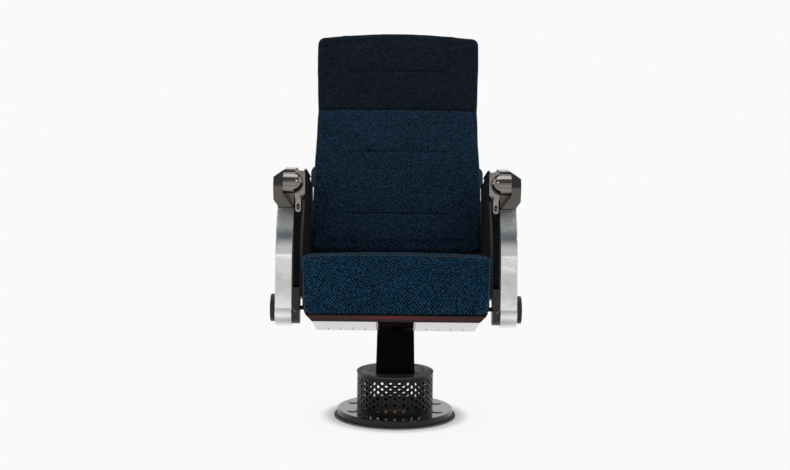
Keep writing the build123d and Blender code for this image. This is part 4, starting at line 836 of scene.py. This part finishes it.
def make_back_cushion():
    piece = remeshed("back_cushion", "back_cushion_cover")

    def resting(facing):
        return facing @ np.array(BACK_IN) > 0.6

    def limit(points):
        points[:, 0] = np.clip(points[:, 0], -BACK_SIDE_X, BACK_SIDE_X)
        return points

    inflate(piece, BACK_TRAVEL, resting, limit)
    fitted(piece, "back_cushion", BACK_PROUD)
    points = coordinates(piece.data)
    up, _ = back_places(points)
    raised = np.clip((up - BACK_TOP_FROM) / BACK_TOP_OVER, 0, 1)
    points += raised[:, None] * np.array(BACK_UP) * BACK_TOP_RAISE
    move_to(piece.data, widened(points, start=0.150, full=0.195, by=0.0024))

    def seam_faces(f):
        return (f.calc_center_median() - BACK_ORIGIN).dot(BACK_IN) < SEAM_DEPTH

    def tuck_faces(f):
        rel = f.calc_center_median() - BACK_ORIGIN
        beside = abs(rel.x) > TUCK_HALF + 0.014 or rel.dot(BACK_IN) > TUCK_DEPTH
        return not beside and f.normal.dot(BACK_IN) < -0.5

    cuts = []
    for u, wanted in ((HEADREST_SEAM, seam_faces), *((u, tuck_faces) for u in TUCKS)):
        for step in LINE_STEPS:
            cuts.append((BACK_ORIGIN + BACK_UP * (u + step), BACK_UP, wanted))
    cut_loops(piece, cuts)
    subdivide(piece)
    mesh = piece.data
    points = coordinates(mesh)
    facing = normals(mesh)
    up, depth = back_places(points)
    x = np.abs(points[:, 0])
    front = np.clip((0.046 - depth) / 0.012, 0, 1)
    sunk = front * groove(np.abs(up - HEADREST_SEAM), *SEAM_GROOVE)
    faces_front = np.clip(-(facing @ np.array(BACK_IN)) * 2 - 0.6, 0, 1)
    fade = np.clip((TUCK_HALF - x) / TUCK_FADE + 0.5, 0, 1)
    for u in TUCKS:
        sunk += faces_front * fade * groove(np.abs(up - u), *TUCK_GROOVE)
    for i, p in enumerate(points):
        near = min(abs(up[i] - u) for u in (HEADREST_SEAM, *TUCKS))
        pucker = noise.noise(Vector((p[0] * 70, up[i] * 26, 3.1))) * 0.0009 * math.exp(-near / 0.016)
        wave = noise.noise(Vector(p) * 15 + Vector((4, 1, 9))) * 0.0009
        sunk[i] -= (pucker + wave) * front[i]
    move_to(mesh, points - facing * sunk[:, None])
    mesh.materials.append(MATERIALS["back_cloth"])
    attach(piece, "frame")
    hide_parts("back_cushion")
    return piece


def make_back_stitches(cushion):
    """The thread in the headrest seam and in the tucks."""
    tree = surface_of(cushion.data)
    parts = []
    for u, half in ((HEADREST_SEAM, SEAM_HALF), *((u, TUCK_HALF) for u in TUCKS)):
        line = BACK_ORIGIN + BACK_UP * (u + 0.0002)
        x = -half
        while x < half:
            stitch = []
            for k in range(5):
                start = line + Vector((x + STITCH * k / 4, 0, 0)) - BACK_IN * CAST_FROM
                hit = tree.ray_cast(start, BACK_IN, CAST_DEPTH)
                if hit[0] is not None:
                    dip = 0.0005 * abs(k - 2) / 2
                    stitch.append(hit[0] - BACK_IN * (0.0004 - dip))
            if len(stitch) == 5:
                parts.append(cord_mesh(stitch, THREAD_R, 6))
            x += STITCH_PITCH
    mesh_piece("back_cushion_stitches", *join_meshes(parts), THREAD, "frame", "back_cloth")


make_back_stitches(make_back_cushion())


# ---- inner pads --------------------------------------------------------------
PAD_INSETS = (0.0, 0.0006, 0.0014, 0.0026, 0.0042)  # rings of points inside the pad's outline
PAD_GRID = 0.005
PAD_GAP = 0.0003  # the crown stays this far inside the solid pad's face
PAD_EDGE_R = 0.006
PAD_SEWN_AT, PAD_SEWN_WIDE, PAD_SEWN_DEEP = 0.011, 0.0022, 0.0011


def inset_rings(rim):
    """The outline and its copies, each a little further in."""
    centre = sum(rim, Vector()) / len(rim)
    rings = []
    for inset in PAD_INSETS:
        ring = []
        for before, p, after in zip(rim[-1:] + rim[:-1], rim, rim[1:] + rim[:1]):
            along = (after - before).normalized()
            inward = Vector((-along.y, along.x, 0))
            if inward.dot(centre - p) < 0:
                inward = -inward
            ring.append(p + inward * inset)
        rings.append(ring)
    return rings


def grid_inside(ring):
    """Points of a square grid that lie inside a ring, clear of it."""
    tree = BVHTree.FromPolygons(ring, [tuple(range(len(ring)))])
    low_y, high_y = min(p.x for p in ring), max(p.x for p in ring)
    low_z, high_z = min(p.y for p in ring), max(p.y for p in ring)
    found = []
    y = low_y
    while y < high_y:
        z = low_z
        while z < high_z:
            spot = Vector((y, z, 0))
            hit = tree.ray_cast(spot + Vector((0, 0, 1)), Vector((0, 0, -1)))
            if hit[0] is not None and min((spot - p).length for p in ring) > 0.0035:
                found.append(Vector((y, z)))
            z += PAD_GRID
        y += PAD_GRID
    return found


def make_inner_pad(side):
    """A thin crowned pad on each inner board, with a sewn line inside its border."""
    node = "inner_pad_" + side
    low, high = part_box(node)
    sign = 1 if side == "right" else -1
    board_x = max(abs(low.x), abs(high.x))
    thick = high.x - low.x - PAD_GAP
    flat = [Vector((v.co.y, v.co.z)) for v in nodes[node].data.vertices]
    rim = [flat[i] for i in geometry.convex_hull_2d(flat)]
    rim = [Vector((p.x, p.y, 0)) for p in rim]
    rim = [p for p, q in zip(rim, rim[1:] + rim[:1]) if (p - q).length > 1e-5]
    rim = resample(rim + [rim[0]], 0.004)[:-1]
    count = len(rim)
    rings = inset_rings(rim)
    flat_points = [Vector((p.x, p.y)) for ring in rings for p in ring] + grid_inside(rings[-1])
    edges = [(k * count + i, k * count + (i + 1) % count) for k in range(len(rings)) for i in range(count)]
    made = geometry.delaunay_2d_cdt(flat_points, edges, [tuple(range(count))], 1, 1e-7)
    spots, triangles = made[0], made[2]
    outline = [Vector((p.x, p.y)) for p in rim]
    from_edge = [min((spot - p).length for p in outline) for spot in spots]
    points = []
    for spot, away in zip(spots, from_edge):
        shape = math.sqrt(max(0.0, 1 - (1 - min(away, PAD_EDGE_R) / PAD_EDGE_R) ** 2))
        sewn = PAD_SEWN_DEEP * math.exp(-((away - PAD_SEWN_AT) / PAD_SEWN_WIDE) ** 2)
        ripple = noise.noise(Vector((spot.x * 45, spot.y * 45, 2.0 * sign))) * 0.00018
        crown = thick * (0.06 + 0.88 * shape) - sewn + ripple * shape
        points.append(Vector((sign * (board_x - crown), spot.x, spot.y)))
    faces = [tuple(t) for t in triangles]
    base = len(points)
    centre = sum(rim, Vector()) / count
    order = [i for i, away in enumerate(from_edge) if away < 1e-6]
    order.sort(key=lambda i: math.atan2(spots[i].y - centre.y, spots[i].x - centre.x))
    size = len(order)
    points += [Vector((sign * board_x, spots[i].x, spots[i].y)) for i in order]
    faces += [(order[k], order[(k + 1) % size], base + (k + 1) % size, base + k) for k in range(size)]
    faces.append(tuple(base + k for k in range(size)))
    piece = mesh_piece(node + "_cover", points, faces, MATERIALS["side_cloth"], "frame", "side_cloth")
    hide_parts(node)


for side in ("left", "right"):
    make_inner_pad(side)


# ---- perforated drum with round holes ----------------------------------------
DRUM_R = 0.0988
DRUM_WALL = 0.0015
HOLE_COLUMNS, HOLE_ROWS = 54, 5
HOLE_PITCH = 0.0152
HOLE_START = 0.011  # height of the lowest hole over the drum's foot
HOLE_R = 0.0045
HOLE_SIDES = 16


def bridge(outer, inner, faces):
    """Triangles between an outer and an inner loop of (angle, point), both sorted by angle."""
    a, b = 0, 0
    na, nb = len(outer), len(inner)

    def angle(loop, i):
        return loop[i % len(loop)][0] + 2 * math.pi * (i // len(loop))

    while a < na or b < nb:
        if b >= nb or (a < na and angle(outer, a + 1) <= angle(inner, b + 1)):
            faces.append((outer[a % na][1], outer[(a + 1) % na][1], inner[b % nb][1]))
            a += 1
        else:
            faces.append((outer[a % na][1], inner[(b + 1) % nb][1], inner[b % nb][1]))
            b += 1


def make_screen():
    """The drum as one rolled sheet, its round holes in staggered columns."""
    low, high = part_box("diffuser_screen")
    height = high.z - low.z
    step = 2 * math.pi / HOLE_COLUMNS
    half = HOLE_PITCH / 2
    walls = (DRUM_R, DRUM_R - DRUM_WALL)
    marks = sorted({0.0, height, *(HOLE_START + k * half for k in range(-1, 2 * HOLE_ROWS + 1)
                                   if 0 < HOLE_START + k * half < height)})
    points, faces, index = [], [], {}

    def at(turn, z, r):
        """The point at an angle, height and radius, made once."""
        key = (round(turn / step * 4096) % (HOLE_COLUMNS * 4096), round(z * 1e6), round(r * 1e6))
        if key not in index:
            index[key] = len(points)
            points.append(Vector((r * math.cos(turn), r * math.sin(turn), low.z + z)))
        return index[key]

    def border(left, right, z0, z1):
        """A cell's outline, with a point wherever a neighbour's corner lies on it."""
        heights = [z for z in marks if z0 - 1e-9 <= z <= z1 + 1e-9]
        return [(left, z) for z in heights] + [(right, z) for z in reversed(heights)]

    def perforated(left, right, z0, z1):
        """One cell of the sheet with a round hole in it."""
        middle, centre_z = (left + right) / 2, (z0 + z1) / 2
        turns = [2 * math.pi * (k + 0.5) / HOLE_SIDES for k in range(HOLE_SIDES)]
        ring = [(middle + HOLE_R * math.cos(turn) / DRUM_R, centre_z + HOLE_R * math.sin(turn))
                for turn in turns]

        def by_angle(loop, r):
            return [(math.atan2(z - centre_z, (a - middle) * DRUM_R), at(a, z, r)) for a, z in loop]

        rims = []
        for r in walls:
            inner = by_angle(ring, r)
            outer = by_angle(border(left, right, z0, z1), r)
            rims.append([point for _, point in inner])
            bridge(sorted(outer), sorted(inner), faces)
        for k in range(HOLE_SIDES):
            after = (k + 1) % HOLE_SIDES
            faces.append((rims[0][k], rims[0][after], rims[1][after], rims[1][k]))

    for column in range(HOLE_COLUMNS):
        left, right = column * step, (column + 1) * step
        lift = HOLE_START + (column % 2) * HOLE_PITCH / 2
        cells = [(lift + (row - 0.5) * HOLE_PITCH, lift + (row + 0.5) * HOLE_PITCH)
                 for row in range(HOLE_ROWS)]
        for z0, z1 in ((0.0, cells[0][0]), (cells[-1][1], height)):
            if z1 - z0 > 1e-6:
                for r in walls:
                    loop = [at(turn, z, r) for turn, z in border(left, right, z0, z1)]
                    faces.append(tuple(dict.fromkeys(loop)))
        for z0, z1 in cells:
            perforated(left, right, z0, z1)
    for z in (0.0, height):
        for column in range(HOLE_COLUMNS):
            left, right = column * step, (column + 1) * step
            faces.append((at(left, z, walls[0]), at(right, z, walls[0]), at(right, z, walls[1]),
                          at(left, z, walls[1])))
    piece = mesh_piece("diffuser_screen_sheet", points, faces, MATERIALS["screen_enamel"], "frame",
                       "screen_enamel", smooth=False)
    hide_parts("diffuser_screen")


make_screen()


# ---- strips at the sides -----------------------------------------------------
STRIP_X, STRIP_Y = 0.2342, 0.1822
STRIP_LOW, STRIP_TOP = 0.470, 0.596
STRIP_R = 0.0036


def make_edge_strips():
    """A soft strip down the upper part of each inner panel's rear edge."""
    parts = []
    for sign in (-1, 1):
        path = [Vector((sign * STRIP_X, STRIP_Y, z)) for z in np.linspace(STRIP_LOW, STRIP_TOP, 40)]
        parts.append(cord_mesh(path, STRIP_R, 12, 0.4))
    mesh_piece("panel_edge_strips", *join_meshes(parts), MATERIALS["sleeve_rubber"], "frame", "sleeve_rubber")


make_edge_strips()


# ---- anchor covers -----------------------------------------------------------
COVER_R = 0.014
COVER_SIDES = 40
COVER_TOP = 0.0017
COVER_PROFILE = ((0.0050, COVER_TOP), (0.0100, 0.0016), (0.0112, 0.0015), (0.0117, 0.0012), (0.0122, 0.0015),
                 (0.0130, 0.0014), (0.0136, 0.0010), (0.0139, 0.0005), (COVER_R, 0.0))  # radius, height


def make_anchor_covers():
    """Four low covers over the anchors: a flat top with a turned ring, and a soft edge."""
    low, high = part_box("anchor_caps")
    reach = (high.x - COVER_R, high.y - COVER_R)
    points, faces = [], []
    for x in (-reach[0], reach[0]):
        for y in (-reach[1], reach[1]):
            base = len(points)
            points.append(Vector((x, y, low.z + COVER_TOP)))
            for radius, height in COVER_PROFILE:
                for k in range(COVER_SIDES):
                    turn = 2 * math.pi * k / COVER_SIDES
                    points.append(Vector((x + radius * math.cos(turn), y + radius * math.sin(turn),
                                          low.z + height)))
            for k in range(COVER_SIDES):
                after = (k + 1) % COVER_SIDES
                faces.append((base, base + 1 + k, base + 1 + after))
                for ring in range(len(COVER_PROFILE) - 1):
                    a = base + 1 + ring * COVER_SIDES
                    faces.append((a + k, a + COVER_SIDES + k, a + COVER_SIDES + after, a + after))
            last = base + 1 + (len(COVER_PROFILE) - 1) * COVER_SIDES
            faces.append(tuple(last + k for k in reversed(range(COVER_SIDES))))
    piece = mesh_piece("anchor_covers", points, faces, MATERIALS["anchor_cap_plastic"], "frame",
                       "anchor_cap_plastic")
    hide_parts("anchor_caps")


make_anchor_covers()
